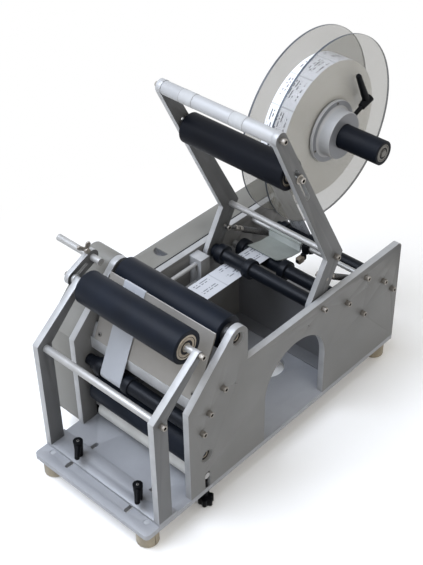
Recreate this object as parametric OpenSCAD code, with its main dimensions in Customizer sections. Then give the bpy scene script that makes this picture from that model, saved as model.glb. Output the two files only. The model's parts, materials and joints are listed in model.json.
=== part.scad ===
// Bench labelling machine for round bottles.
// Millimetres, +Z up, front towards -Y. Heights inside the modules count from the top of the base plate.

/* [Base] */
// Length of the base plate, front to rear
base_l = 650; // [646:1:670]
// Width of the base plate over the side plates
base_w = 270; // [260:1:290]
// Thickness of the base plate
base_t = 10; // [8:1:12]
// Radius of the base plate's front corners
base_corner = 8; // [4:1:10]
// Diameter of a rubber foot
foot_d = 38; // [32:1:42]
// Height of a rubber foot
foot_h = 34; // [32:1:40]
// Distance of a foot from the base edges
foot_inset = 23; // [22:1:26]
// Half the distance between the two clamp slots
slot_half = 71; // [60:1:80]
// Width of a clamp slot
slot_w = 8; // [8:0.5:11]
// Front end of the clamp slots
slot_front = 14; // [12:1:16]
// Length of the clamp slots
slot_len = 74; // [72:1:76]
// Diameter of the round hole in the floor
floor_hole_d = 66; // [40:1:80]

/* [Side plates] */
// Thickness of the side plates and of the front arms
plate_t = 12; // [10:1:14]
// Front edge of the side plates
plate_front = 102; // [98:1:105]
// Height at which the front edge starts to slant
plate_bend = 191; // [180:1:200]
// Height of the side plates
plate_top = 217; // [215:1:222]
// Radius of the ear round the drive roller shaft
ear_r = 22; // [19:1:24]
// Width of the arch in the right plate
arch_w = 158; // [120:1:160]
// Height of the arch in the right plate
arch_h = 171; // [150:1:175]
// Middle of the arch, from the front of the base
arch_y = 361; // [350:1:370]
// Diameter of the cap screws
screw_d = 6; // [5:1:6]

/* [Drive] */
// Drive roller axis, from the front of the base
drive_y = 216; // [212:1:220]
// Drive roller axis, height
drive_z = 273; // [268:1:280]
// Diameter of the drive roller
drive_d = 57; // [50:1:60]
// Traction roller axis, from the front of the base
traction_y = 141.5; // [138:0.5:146]
// Traction roller axis, height
traction_z = 73.3; // [71:0.1:76]
// Diameter of the traction roller
traction_d = 56; // [50:1:58]
// Diameter of the pinch roller
pinch_d = 36; // [30:1:38]
// Diameter of the main shafts
shaft_d = 12; // [10:1:12]
// Motor pulley axis, from the front of the base
motor_y = 218; // [216:1:220]
// Motor pulley axis, height
motor_z = 82; // [78:1:90]
// Diameter of the belt pulleys
pulley_d = 27; // [22:1:28]

/* [Peel plate and guides] */
// Gap between the peel plate and the drive roller
peel_gap = 2.3; // [2.2:0.1:4]
// Thickness of the peel plate
peel_t = 3; // [2:0.5:4]
// Length of the peel plate
peel_len = 122; // [116:1:126]
// Tilt of the peel plate
peel_tilt = 66.6; // [65.5:0.1:67.5]
// Diameter of the guide bars
guide_d = 25; // [22:1:27]
// Diameter of the guide collars
collar_d = 36; // [32:1:38]
// Width of a guide collar
collar_w = 14; // [10:1:14]
// Lower guide axis, from the front of the base
low_y = 130; // [126:1:132]
// Lower guide axis, height
low_z = 134.7; // [131:0.1:136]
// Diameter of the lower guide collars
low_collar_d = 32; // [28:1:34]
// Middle guide axis, from the front of the base
middle_y = 494; // [490:1:500]
// Middle guide axis, height
middle_z = 173.5; // [170:0.5:176]
// Rear guide axis, from the front of the base
rear_y = 600; // [594:1:604]
// Rear guide axis, height
rear_z = 159; // [156:0.5:162]
// Thin rod of the press plate, from the front of the base
thin_y = 546; // [543:1:550]
// Thin rod of the press plate, height
thin_z = 198; // [196:0.5:201]
// Distance of the web from the left plate
web_inset = 41; // [38:1:44]
// Width of the web
web_w = 48; // [40:1:52]
// Thickness of the web
web_t = 0.6; // [0.5:0.1:0.8]

/* [Front frame] */
// Front edge of the front arms
arm_front = 29; // [27:1:31]
// Depth of the front arms
arm_depth = 29; // [26:1:31]
// Height of the front arms' crank
arm_bend = 225; // [215:1:235]
// Front roller axis, from the front of the base
front_y = 131; // [128:1:134]
// Front roller axis, height
front_z = 296; // [290:1:300]
// Diameter of the front roller
front_d = 58; // [52:1:59]
// Diameter of the front cross rod
cross_rod_d = 13; // [10:1:14]

/* [Press arm] */
// Pivot shaft, from the front of the base
pivot_y = 427; // [424:1:430]
// Pivot shaft, height
pivot_z = 202; // [199:1:204]
// Elbow of the press arm, behind the pivot
elbow_dy = 45; // [43:1:47]
// Elbow of the press arm, above the pivot
elbow_dz = 77; // [74:1:80]
// Handle axis, in front of the pivot
handle_dy = 103.5; // [100:0.5:108]
// Handle axis, above the pivot
handle_dz = 368; // [360:1:378]
// Thickness of the press arms
press_arm_t = 10; // [8:1:10]
// Diameter of the handle bar
handle_d = 23; // [20:1:24]
// Diameter of the press roller
press_d = 52; // [44:1:54]
// Place of the press roller along the upper arm, from the elbow
press_at = 228; // [224:1:232]
// Length of the slots in the press arms
press_slot = 79; // [70:1:84]
// Diameter of the spring wire
wire_d = 1.6; // [1.2:0.1:1.8]
// Mean radius of the spring
spring_r = 5; // [4.8:0.1:5.4]
// Turns in a spring
spring_turns = 22; // [16:1:24]

/* [Reel] */
// Reel axis, from the front of the base
reel_y = 642.7; // [638:0.1:648]
// Reel axis, height
reel_z = 382.3; // [376:0.1:390]
// Diameter of the reel discs
disc_d = 346; // [300:1:346]
// Thickness of the reel discs
disc_t = 4; // [3:0.5:5]
// Diameter of the label roll
roll_d = 252; // [200:1:256]
// Diameter of the roll's core
core_d = 76; // [70:1:78]
// Diameter of the reel tube
tube_d = 44; // [40:1:46]
// Radius of the outer hub's flange
hub_flange_r = 57; // [50:1:62]
// Radius of the outer hub's boss
hub_boss_r = 43; // [41:1:46]

/* [Control box and stop] */
// Depth of the control box, away from the left plate
box_d = 54; // [50:1:58]
// Wall of the control box
box_wall = 2; // [1.5:0.5:2.5]
// Length of the stop link between axle and rod
link_len = 46; // [44:1:48]
// Rise angle of the stop link
link_rise = 24; // [22:1:26]
// Length of the stop rod
stop_rod_l = 101; // [96:1:104]
// Diameter of the stop rod
stop_rod_d = 12; // [10:0.5:13]

/* [Hidden] */
$fn = 48;
// Radial gap of a running shaft
run_fit = 0.05;
// Radial gap of a seated bearing, disc or bush
seat_fit = 0.02;
// Radial gap of a screw in its hole
screw_fit = 0.2;
// Gap between pieces that move past each other
gap = 0.3;
stand = base_t + foot_h;
half_w = base_w / 2;
in_x = half_w - plate_t;
arm_x = in_x - 2;
web_x0 = -in_x + web_inset;
web_x1 = web_x0 + web_w;
hole_d = screw_d + 2 * screw_fit;
head_d = screw_d * 5 / 3;
head_h = screw_d * 3 / 2;
shaft_hole = shaft_d + 2 * run_fit;
foot_x = half_w - foot_inset;
foot_y = [foot_inset, base_l - foot_inset];
plate_mid = in_x + plate_t / 2;
drive_c = [drive_y, drive_z];
drive_r = drive_d / 2;
traction_r = traction_d / 2;
pinch_r = pinch_d / 2;
nip = web_t + 0.5;
pinch_z = traction_z - traction_r - nip - pinch_r;
pinch_drop = 5;
pinch_slot_r = shaft_d / 2 + 0.2;
pinch_slot_top = pinch_z + shaft_d / 2 + 4.5;
pulley_r = pulley_d / 2;
peel_d = [cos(peel_tilt), sin(peel_tilt)];
peel_n = [sin(peel_tilt), -cos(peel_tilt)];
peel_reach = 5;
peel_rear_top = drive_c - (drive_r + peel_gap) * peel_n + peel_reach * peel_d;
peel_top = peel_rear_top - peel_t * peel_n;
peel_low = peel_top - peel_len * peel_d;
peel_rear_low = peel_rear_top - peel_len * peel_d;
peel_x = in_x - 8;
bar_y0 = peel_low[0] - 0.7;
bar_z1 = peel_low[1] - 0.5;
bar_z0 = bar_z1 - 23;
web_rod = [179, 197.5];
tie_a = [543, 120.5];
anchor = [630, 124];
anchor_d = 10;
thin_d = 9;
ties = [
    [pivot_y, pivot_z, shaft_d], [middle_y, middle_z, shaft_d], [rear_y, rear_z, shaft_d],
    [low_y, low_z, shaft_d], [thin_y, thin_z, thin_d], [tie_a[0], tie_a[1], shaft_d],
    [anchor[0], anchor[1], anchor_d], [web_rod[0], web_rod[1], shaft_d]
];
plate_screws = concat([for (t = ties) [t[0], t[1]]], [[bar_y0 + 8, bar_z0 + 11.5]]);
bearing_d = 24;
bearing_w = 6;
front_bearing_d = 42;
front_bearing_w = 8;
roller_half = in_x - 11;
front_half = in_x - 15;
press_half = arm_x - press_arm_t - 6;
guide_half = arm_x - press_arm_t - 2;
slide_t = 5;
slide_gap = 0.2;
slide_y = [arm_front, 69];
lever_y = 46;
arm_low = slide_gap + slide_t;
front_c = [front_y, front_z];
front_end_r = 6.5;
cross_rod_c = [arm_front + 16, arm_bend - 10.5];
pivot = [pivot_y, pivot_z];
elbow = pivot + [elbow_dy, elbow_dz];
handle = pivot + [-handle_dy, handle_dz];
upper_len = norm(handle - elbow);
upper_u = (handle - elbow) / upper_len;
press_c = elbow + press_at * upper_u;
slot_high = press_c + 23 * upper_u;
slot_low = slot_high - press_slot * upper_u;
stud_d = 8;
press_slot_w = stud_d + 2 * gap;
spring_stud = pivot + [28, 38];
spring_stud_d = 6;
spring_x = arm_x - press_arm_t - 7;
disc_r = disc_d / 2;
roll_r = roll_d / 2;
core_r = core_d / 2;
tube_r = tube_d / 2;
reel_c = [reel_y, reel_z];
disc_in_x = web_x0 - disc_t;
hub_x = web_x1 + gap;
hub_face = hub_x + disc_t;
hub_end = hub_face + 30;
tube_end = hub_end + 84;
reel_bearing_d = 32;
hub_lever_a = 24;
hub_lever_x = hub_end - 11;
post_t = 10;
box_x = -half_w - box_d;
box_top = plate_top - 3;
box_front = plate_front + 2;
box_rear = base_l - 2;
box_slant = box_top - plate_bend;
lid_t = 2;
belt_t = 1.5;
drive_end = -half_w - box_d + 6;
link_t = 9;
wing_turn = 60;
link_gap = 6;
link_x = -half_w - link_gap - link_t;
link_d = [cos(link_rise), sin(link_rise)];
link_n = [-sin(link_rise), cos(link_rise)];
link_c = front_c + link_len * link_d;
link_r = 13;
stop_x1 = -in_x + 2;
stop_x0 = stop_x1 - stop_rod_l;
press_plate_x = [web_x0 + 4, web_x1 + 29];
knob_d = 27;
knob_x = plate_mid;
wall_y = 506;
rail_x = -in_x + 15;
rail_z = [160, 200];
rail_block_y = [254, 376];
inlet_z = 62;
right_x = max(knob_x + knob_d / 2, half_w + head_h);
mid_x = (stop_x0 + right_x) / 2;
mid_y = (reel_y + disc_r) / 2;

// Point on a circle that a line from q touches
function touch(q, c, r, side) =
    let (d = q - c, a = atan2(d[1], d[0]) + side * acos(r / norm(d)))
    c + r * [cos(a), sin(a)];

// Where the line through p along d meets the line through q along e
function meet(p, d, q, e) =
    let (w = q - p, k = (w[0] * e[1] - w[1] * e[0]) / (d[0] * e[1] - d[1] * e[0]))
    p + k * d;

// Heading of the straight run between two wraps [centre, radius, turn]
function heading(a, b) =
    let (d = b[0] - a[0])
    atan2(d[1], d[0]) + asin((a[2] * a[1] - b[2] * b[1]) / norm(d));

// Positive remainder of an angle
function turn_of(a) = a - 360 * floor(a / 360);

// One edge of a band that runs round a list of wraps, off to the left of the middle line
function band_edge(w, off) = [
    for (i = [0 : len(w) - 1])
        let (
            s = w[i][2],
            r = w[i][1] - s * off,
            a = i == 0 ? heading(w[0], w[1]) : heading(w[i - 1], w[i]),
            b = i == len(w) - 1 ? a : heading(w[i], w[i + 1]),
            sweep = s > 0 ? turn_of(b - a) : -turn_of(a - b),
            near = abs(sweep) > 350 ? 0 : sweep,
            n = max(1, ceil(abs(near) / 12))
        )
        for (k = [0 : n])
            let (t = a - s * 90 + near * k / n)
            w[i][0] + r * [cos(t), sin(t)]
];

// Rod along X
module rod(x0, x1, c, d) {
    translate([x0, c[0], c[1]])
        rotate([0, 90, 0])
            cylinder(d = d, h = x1 - x0);
}

// Ring along X
module ring(x0, x1, c, d, bore) {
    difference() {
        rod(x0, x1, c, d);
        rod(x0 - 1, x1 + 1, c, bore);
    }
}

// Rod along X with a tapped hole in each end
module tapped_rod(x0, x1, c, d) {
    difference() {
        rod(x0, x1, c, d);
        rod(x0 - 1, x0 + 16, c, hole_d);
        rod(x1 - 16, x1 + 1, c, hole_d);
    }
}

// Flat shape in Y and Z, thickened along X
module slab(x0, t) {
    translate([x0, 0, 0])
        rotate([90, 0, 90])
            linear_extrude(t)
                children();
}

// Flat bar with two round ends
module bar2d(p, rp, q, rq) {
    f = atan2(q[1] - p[1], q[0] - p[0]);
    b = acos((rp - rq) / norm(q - p));
    translate(p)
        circle(rp);
    translate(q)
        circle(rq);
    polygon([
        p + rp * [cos(f + b), sin(f + b)], q + rq * [cos(f + b), sin(f + b)],
        q + rq * [cos(f - b), sin(f - b)], p + rp * [cos(f - b), sin(f - b)]
    ]);
}

// Rectangle from a to b, its two front corners round
module front_rounded(a, b, r) {
    translate(a + [r, 0])
        square([b[0] - a[0] - 2 * r, b[1] - a[1]]);
    translate(a + [0, r])
        square([b[0] - a[0], b[1] - a[1] - r]);
    for (x = [a[0] + r, b[0] - r])
        translate([x, a[1] + r])
            circle(r);
}

// Cap screw along X, its head at x on the side s, with a hexagon socket
module cap_screw(x, c, s, l) {
    translate([x, c[0], c[1]])
        rotate([0, s * 90, 0]) {
            difference() {
                cylinder(d = head_d, h = head_h);
                translate([0, 0, head_h - screw_d * 0.55])
                    cylinder(d = screw_d * 0.95, h = screw_d, $fn = 6);
            }
            translate([0, 0, -l])
                cylinder(d = screw_d, h = l + 0.5);
        }
}

module base_plate() {
    color("silver")
        difference() {
            translate([0, 0, -base_t])
                linear_extrude(base_t)
                    difference() {
                        front_rounded([-half_w, 0], [half_w, base_l], base_corner);
                        for (s = [-1, 1])
                            bar2d([s * slot_half, slot_front + slot_w / 2], slot_w / 2,
                                [s * slot_half, slot_front + slot_len - slot_w / 2], slot_w / 2 - 0.001);
                        for (s = [-1, 1], y = foot_y)
                            translate([s * foot_x, y])
                                circle(d = hole_d);
                        for (s = [-1, 1])
                            translate([s * knob_x, traction_y])
                                circle(d = 8 + 3 * gap);
                        translate([15, 428])
                            circle(d = floor_hole_d);
                    }
            for (s = [-1, 1], y = foot_y)
                translate([s * foot_x, y, -4])
                    cylinder(d = head_d + 0.6, h = 5);
        }
}

module rubber_feet() {
    color("beige")
        for (s = [-1, 1], y = foot_y)
            translate([s * foot_x, y, -stand])
                difference() {
                    union() {
                        translate([0, 0, 3])
                            cylinder(d = foot_d, h = foot_h - 3);
                        cylinder(d1 = foot_d - 6, d2 = foot_d, h = 3.001);
                    }
                    translate([0, 0, foot_h - 16])
                        cylinder(d = hole_d, h = 17);
                }
}

module frame_screws() {
    color("gainsboro") {
        for (s = [-1, 1], c = plate_screws)
            cap_screw(s * half_w, c, s, plate_t + 12);
        for (s = [-1, 1], y = foot_y)
            translate([s * foot_x, y, 0])
                difference() {
                    union() {
                        translate([0, 0, -3.8])
                            cylinder(d = head_d, h = 3.8);
                        translate([0, 0, -base_t - 12])
                            cylinder(d = screw_d, h = base_t + 9);
                    }
                    translate([0, 0, -2])
                        cylinder(d = screw_d * 0.7, h = 3, $fn = 6);
                }
        for (s = [-1, 1])
            translate([s * (peel_x - 10), 0, 0])
                peel_screw();
        for (c = [[reel_y - 27, 197], [reel_y - 5, 190]])
            cap_screw(-in_x + post_t, c, 1, post_t + 8);
        for (z = rail_z)
            translate([rail_x - 9, rail_block_y[1] + 22, z + (z < 180 ? 10 : -10)])
                rotate([-90, 0, 0]) {
                    cylinder(d = 7, h = 4);
                    translate([0, 0, -12])
                        cylinder(d = 4, h = 12.5);
                }
    }
}

// Screw through the lower edge of the peel plate into its bar
module peel_screw() {
    c = peel_low + 12 * peel_d;
    translate([0, c[0], c[1]])
        rotate([peel_tilt, 0, 0]) {
            cylinder(d = 8, h = 1.6);
            translate([0, 0, -10])
                cylinder(d = 5, h = 10.5);
        }
}

// Holes for the two peel plate screws
module peel_holes() {
    c = peel_low + 12 * peel_d;
    for (s = [-1, 1])
        translate([s * (peel_x - 10), c[0], c[1]])
            rotate([peel_tilt, 0, 0])
                translate([0, 0, -11])
                    cylinder(d = 5 + 2 * screw_fit, h = 20);
}

// Outline of a side plate with the ear
module plate_outline() {
    q = [plate_front, plate_bend];
    c = 10;
    translate(drive_c)
        circle(ear_r);
    polygon([
        [plate_front, 0], q, touch(q, drive_c, ear_r, -1), drive_c, [drive_y + ear_r, drive_z],
        [drive_y + ear_r, plate_top], [base_l - c, plate_top], [base_l, plate_top - c], [base_l, 0]
    ]);
    translate([base_l - c, plate_top - c])
        circle(c);
}

// Holes that both side plates share
module plate_holes() {
    for (c = plate_screws)
        translate(c)
            circle(d = hole_d);
    translate(drive_c)
        circle(d = bearing_d + 2 * seat_fit);
    translate([traction_y, traction_z])
        circle(d = bearing_d + 2 * seat_fit);
    translate([traction_y, pinch_slot_top - pinch_slot_r])
        circle(pinch_slot_r);
    translate([traction_y - pinch_slot_r, -1])
        square([2 * pinch_slot_r, pinch_slot_top - pinch_slot_r + 1]);
}

module left_side_plate() {
    color("silver")
        slab(-half_w, plate_t)
            difference() {
                plate_outline();
                plate_holes();
                translate([motor_y, motor_z])
                    circle(d = 22);
                for (c = [[reel_y - 27, 197], [reel_y - 5, 190]])
                    translate(c)
                        circle(d = hole_d);
            }
}

module right_side_plate() {
    color("silver")
        slab(half_w - plate_t, plate_t)
            difference() {
                plate_outline();
                plate_holes();
                translate([arch_y, arch_h - arch_w / 2])
                    circle(d = arch_w);
                translate([arch_y - arch_w / 2, -1])
                    square([arch_w, arch_h - arch_w / 2 + 1]);
                for (c = [[390, 187], [209, 185], [553, 173.5]])
                    translate(c)
                        circle(d = 4);
            }
}

module tie_rods() {
    color("gainsboro") {
        for (t = ties)
            tapped_rod(-in_x, in_x, [t[0], t[1]], t[2]);
        for (z = rail_z)
            translate([rail_x, rail_block_y[0] + 2, z])
                rotate([-90, 0, 0])
                    cylinder(d = 8, h = rail_block_y[1] - rail_block_y[0] + 18);
    }
}

module rail_blocks() {
    color("lightgray")
        for (y = rail_block_y)
            difference() {
                translate([-in_x, y, rail_z[0] - 12])
                    cube([28, 22, rail_z[1] - rail_z[0] + 24]);
                for (z = rail_z) {
                    translate([rail_x, y - 1, z])
                        rotate([-90, 0, 0])
                            cylinder(d = 8 + 2 * screw_fit, h = 24);
                    translate([rail_x - 9, y + 8, z + (z < 180 ? 10 : -10)])
                        rotate([-90, 0, 0])
                            cylinder(d = 4 + 2 * screw_fit, h = 20);
                }
            }
}

module cross_bar() {
    up = peel_rear_low + 26 * peel_d;
    color("lightgray")
        difference() {
            slab(-in_x, 2 * in_x)
                difference() {
                    polygon([
                        [bar_y0, bar_z0], [bar_y0, bar_z1], peel_low, peel_rear_low, up,
                        up + 10 * peel_n, [bar_y0 + 28, bar_z0]
                    ]);
                    translate(peel_low)
                        circle(0.4);
                }
            for (s = [-1, 1])
                rod(s > 0 ? in_x - 16 : -in_x - 1, s > 0 ? in_x + 1 : -in_x + 16,
                    [bar_y0 + 8, bar_z0 + 11.5], hole_d);
            peel_holes();
        }
}

module peel_plate() {
    color("gainsboro")
        difference() {
            slab(-peel_x, 2 * peel_x)
                polygon([
                    peel_low, peel_top - 1 * peel_d, peel_top + 0.8 * peel_n,
                    peel_rear_top - 6 * peel_d, peel_rear_low
                ]);
            peel_holes();
        }
}

module control_box() {
    w = box_wall;
    color("darkgray")
        difference() {
            union() {
                slab(box_x, box_d)
                    polygon([
                        [box_front, 0], [box_front, plate_bend], [box_front + box_slant, box_top],
                        [box_rear, box_top], [box_rear, 0]
                    ]);
                rod(box_x, -half_w, drive_c, 2 * ear_r + 1);
                slab(box_x, box_d)
                    polygon([
                        [box_front + box_slant - 1, box_top - 1],
                        touch([plate_front + 1, plate_bend], drive_c, ear_r + 0.5, -1), drive_c,
                        [drive_y + ear_r + 0.5, drive_z], [drive_y + ear_r + 0.5, box_top - 1]
                    ]);
            }
            slab(box_x + w, box_d)
                polygon([
                    [box_front + w, w], [box_front + w, plate_bend - w],
                    [box_front + box_slant + 0.4 * w, box_top - w], [drive_y - 18, box_top - w],
                    [drive_y - 18, drive_z], [drive_y + 18, drive_z], [drive_y + 18, box_top - w],
                    [drive_y + ear_r + 3, box_top - w], [drive_y + ear_r + 3, box_top + 1],
                    [box_rear - w, box_top + 1], [box_rear - w, w]
                ]);
            rod(box_x + w, -half_w + 1, drive_c, 36);
            translate([box_x + 12, box_rear - 10, inlet_z - 21])
                cube([box_d - 24, 20, 72]);
        }
}

module control_box_lid() {
    y0 = drive_y + ear_r + 3;
    color("darkgray")
        difference() {
            translate([box_x, y0, box_top])
                cube([box_d - gap, box_rear - y0, lid_t]);
            translate([box_x + box_d / 2 - 2, 350, box_top - 1])
                linear_extrude(lid_t + 2)
                    intersection() {
                        circle(15);
                        translate([-20, -20])
                            square([40, 20]);
                    }
        }
}

module power_inlet() {
    x = box_x + box_d / 2;
    color("dimgray")
        difference() {
            union() {
                translate([x - 17, box_rear, inlet_z - 26])
                    cube([34, 2, 82]);
                translate([x - 14, box_rear - 24, inlet_z - 20])
                    cube([28, 25, 70]);
            }
            translate([x - 12, box_rear - 14, inlet_z - 16])
                cube([24, 20, 26]);
            translate([x - 9, box_rear - 12, inlet_z + 19])
                cube([18, 20, 26]);
        }
    color("dimgray")
        rod(x - 10, x + 10, [box_rear - 2, inlet_z + 32], 3);
}

module rocker_switch() {
    x = box_x + box_d / 2;
    color("black")
        translate([x - 8, box_rear - 2, inlet_z + 32])
            rotate([-7, 0, 0])
                slab(0, 16)
                    difference() {
                        polygon([[-5, -10], [2, -10.5], [3.2, 0], [2, 10.5], [-5, 10]]);
                        translate([0, 0])
                            circle(1.5 + run_fit);
                    }
}

module drive_motor() {
    color("dimgray") {
        difference() {
            translate([-in_x, motor_y - 27, motor_z - 30])
                cube([44, 54, 60]);
            rod(-in_x - 1, -in_x + 32, [motor_y, motor_z], 10 + 2 * run_fit);
        }
        translate([-in_x + 26, motor_y + 26, motor_z])
            rotate([-90, 0, 0]) {
                cylinder(d = 50, h = 84);
                translate([0, 0, 83])
                    cylinder(d = 38, h = 10);
            }
    }
}

module circuit_board() {
    color("green") {
        translate([box_x + box_wall + 4, 440, 40])
            cube([1.6, 150, 130]);
        for (y = [448, 582], z = [48, 162])
            translate([box_x + box_wall, y, z])
                rotate([0, 90, 0])
                    cylinder(d = 6, h = 4.5);
        translate([box_x + box_wall + 5, 470, 60])
            cube([20, 60, 34]);
        translate([box_x + box_wall + 5, 550, 110])
            cube([14, 24, 40]);
    }
}

module ball_bearings() {
    color("gainsboro") {
        for (c = [drive_c, [traction_y, traction_z]]) {
            ring(in_x, in_x + bearing_w, c, bearing_d, shaft_hole);
            ring(-in_x - bearing_w, -in_x, c, bearing_d, shaft_hole);
        }
        for (x = [disc_in_x - 8, tube_end - 8])
            ring(x, x + 8, reel_c, reel_bearing_d, shaft_hole);
    }
}

module partition_wall() {
    color("lightgray") {
        translate([-in_x + 1, wall_y, 0])
            cube([2 * in_x - 2, 2, 104]);
        translate([-in_x + 1, wall_y - 26, 0])
            cube([2 * in_x - 2, 27, 2]);
    }
}

module reel_post() {
    color("silver")
        difference() {
            slab(-in_x, post_t)
                difference() {
                    bar2d([reel_y - 16, 197], 22, reel_c, 17);
                    translate(reel_c)
                        circle(d = shaft_d + 2 * seat_fit);
                    for (c = [[reel_y - 27, 197], [reel_y - 5, 190]])
                        translate(c)
                            circle(d = hole_d);
                }
        }
}

module reel_axle() {
    color("gainsboro") {
        rod(-in_x + 0.5, tube_end + 1.5, reel_c, shaft_d);
        rod(-in_x + post_t, disc_in_x - 14, reel_c, 22);
    }
}

module label_sensor() {
    x = web_x1 + 31;
    color("black") {
        difference() {
            union() {
                translate([x, thin_y - 11, thin_z - 12])
                    cube([18, 22, 22]);
                translate([x + 1, thin_y - 30, thin_z - 24])
                    cube([16, 22, 18]);
                translate([x + 9, thin_y + 4, thin_z - 20])
                    cylinder(d = 15, h = 9);
            }
            rod(x - 1, x + 19, [thin_y, thin_z], thin_d + 2 * screw_fit);
        }
        translate([x + 9, thin_y - 29, thin_z - 14])
            rotate([90, 0, 0])
                cylinder(d = 8, h = 4);
    }
}

// Flat shape round two equal circles
module loop2d(a, b, r) {
    d = b - a;
    n = [-d[1], d[0]] / norm(d) * (r - 0.004);
    for (c = [a, b])
        translate(c)
            circle(r);
    polygon([a + n, b + n, b - n, a - n]);
}

// Closed belt round two equal pulleys
module belt(x0, w, a, b) {
    r = pulley_r + gap;
    slab(x0, w)
        difference() {
            loop2d(a, b, r + belt_t);
            loop2d(a, b, r);
        }
}

module drive_belts() {
    color("black") {
        belt(-half_w - 14, 6, [motor_y, motor_z], [traction_y, traction_z]);
        belt(-half_w - 30, 12, [motor_y, motor_z], drive_c);
    }
}

module label_web() {
    m = web_t / 2 + gap;
    wraps = [
        [reel_c, roll_r + m, 1], [[rear_y, rear_z], guide_d / 2 + m, -1],
        [[middle_y, middle_z], guide_d / 2 + m, 1], [pivot, guide_d / 2 + m, -1],
        [web_rod, shaft_d / 2 + m, -1], [peel_top - 1 * peel_d + 1 * peel_n, 1.2 + m, 1],
        [[low_y, low_z], guide_d / 2 + m, 1], [[traction_y, traction_z], traction_r + nip / 2, -1],
        [[traction_y - 2, traction_z - traction_r - nip / 2 - 6], 6, 1]
    ];
    left = band_edge(wraps, web_t / 2);
    right = band_edge(wraps, -web_t / 2);
    color("white")
        slab(web_x0 + 0.5, web_w - 1)
            polygon(concat(left, [for (i = [len(right) - 1 : -1 : 0]) right[i]]));
}

module sliding_plate() {
    color("silver")
        translate([0, 0, slide_gap])
            linear_extrude(slide_t)
                difference() {
                    translate([-half_w, slide_y[0]])
                        square([2 * half_w, slide_y[1] - slide_y[0]]);
                    for (s = [-1, 1])
                        translate([s * slot_half, lever_y])
                            circle(d = screw_d + 2 * gap);
                }
}

// Outline of a front arm
module front_arm_outline() {
    q = [arm_front, arm_bend];
    p = [arm_front + arm_depth, arm_bend - 7];
    difference() {
        union() {
            translate(front_c)
                circle(front_end_r);
            polygon([
                [arm_front, arm_low], q, touch(q, front_c, front_end_r, -1), front_c,
                touch(p, front_c, front_end_r, 1), p, [arm_front + arm_depth, arm_low]
            ]);
        }
        translate(front_c)
            circle(d = hole_d);
        translate(cross_rod_c)
            circle(d = hole_d);
    }
}

module left_front_arm() {
    color("silver")
        slab(-half_w, plate_t)
            front_arm_outline();
}

module right_front_arm() {
    color("silver")
        slab(half_w - plate_t, plate_t)
            front_arm_outline();
}

module front_frame_rods() {
    color("gainsboro") {
        tapped_rod(-in_x, in_x, front_c, shaft_d);
        tapped_rod(-in_x, in_x, cross_rod_c, cross_rod_d);
        cap_screw(half_w, front_c, 1, plate_t + 12);
        cap_screw(half_w, cross_rod_c, 1, plate_t + 12);
        cap_screw(-half_w, cross_rod_c, -1, plate_t + 12);
        cap_screw(link_x - gap, front_c, -1, plate_t + 12 + link_t + link_gap + gap);
        ring(-half_w - link_gap + gap, -half_w, front_c, 16, hole_d);
    }
}

module front_roller() {
    color("#22242a")
        difference() {
            rod(-front_half, front_half, front_c, front_d);
            rod(-front_half - 1, front_half + 1, front_c, shaft_d + 6);
            for (s = [-1, 1])
                rod(s > 0 ? front_half - front_bearing_w : -front_half - 1,
                    s > 0 ? front_half + 1 : -front_half + front_bearing_w,
                    front_c, front_bearing_d + 2 * seat_fit);
        }
}

module front_roller_bearings() {
    color("tan")
        for (x = [-front_half, front_half - front_bearing_w])
            ring(x, x + front_bearing_w, front_c, front_bearing_d, shaft_hole);
}

// Clamp lever: stud with nut below the base, boss and slanted grip
module clamp_lever(x) {
    color("#202226")
        translate([x, lever_y, 0]) {
            translate([0, 0, -base_t - 9])
                cylinder(d = screw_d, h = base_t + 18);
            translate([0, 0, -base_t - 6.5])
                cylinder(d = 11.5, h = 6, $fn = 6);
            translate([0, 0, arm_low + gap])
                cylinder(d1 = 13, d2 = 17, h = 33);
            translate([0, 0, arm_low + 26])
                rotate([0, 100, -47]) {
                    cylinder(d1 = 12, d2 = 9, h = 27);
                    translate([0, 0, 27])
                        sphere(d = 9);
                }
        }
}

module left_clamp_lever() {
    clamp_lever(-slot_half);
}

module right_clamp_lever() {
    clamp_lever(slot_half);
}

module stop_link() {
    far = front_c + 30 * link_d;
    w = hole_d / 2 + 0.1;
    color("silver")
        difference() {
            slab(link_x, link_t)
                difference() {
                    bar2d(front_c, link_r, link_c, link_r - 0.001);
                    bar2d(front_c, w, far, w - 0.001);
                    translate(link_c)
                        circle(d = stop_rod_d + 2 * run_fit);
                }
            translate([link_x + link_t / 2, link_c[0], link_c[1]])
                rotate([link_rise, 0, 0])
                    translate([0, 0, stop_rod_d / 2])
                        cylinder(d = 5 + 2 * gap, h = link_r);
        }
}

module stop_rod() {
    color("gainsboro")
        rod(stop_x0, stop_x1, link_c, stop_rod_d);
}

module stop_wing_screw() {
    color("gainsboro")
        translate([link_x + link_t / 2, link_c[0], link_c[1]])
            rotate([link_rise, 0, 0])
                translate([0, 0, stop_rod_d / 2 + gap]) {
                    cylinder(d = 5, h = 12);
                    translate([0, 0, link_r - stop_rod_d / 2 + gap])
                        cylinder(d1 = 11, d2 = 8, h = 8);
                    translate([0, 0, link_r])
                        for (s = [-1, 1])
                            rotate([90, 0, wing_turn])
                                translate([0, 0, -1.5])
                                    linear_extrude(3)
                                        bar2d([0, -1], 3, [s * 8, 10], 3.8);
                }
}

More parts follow.
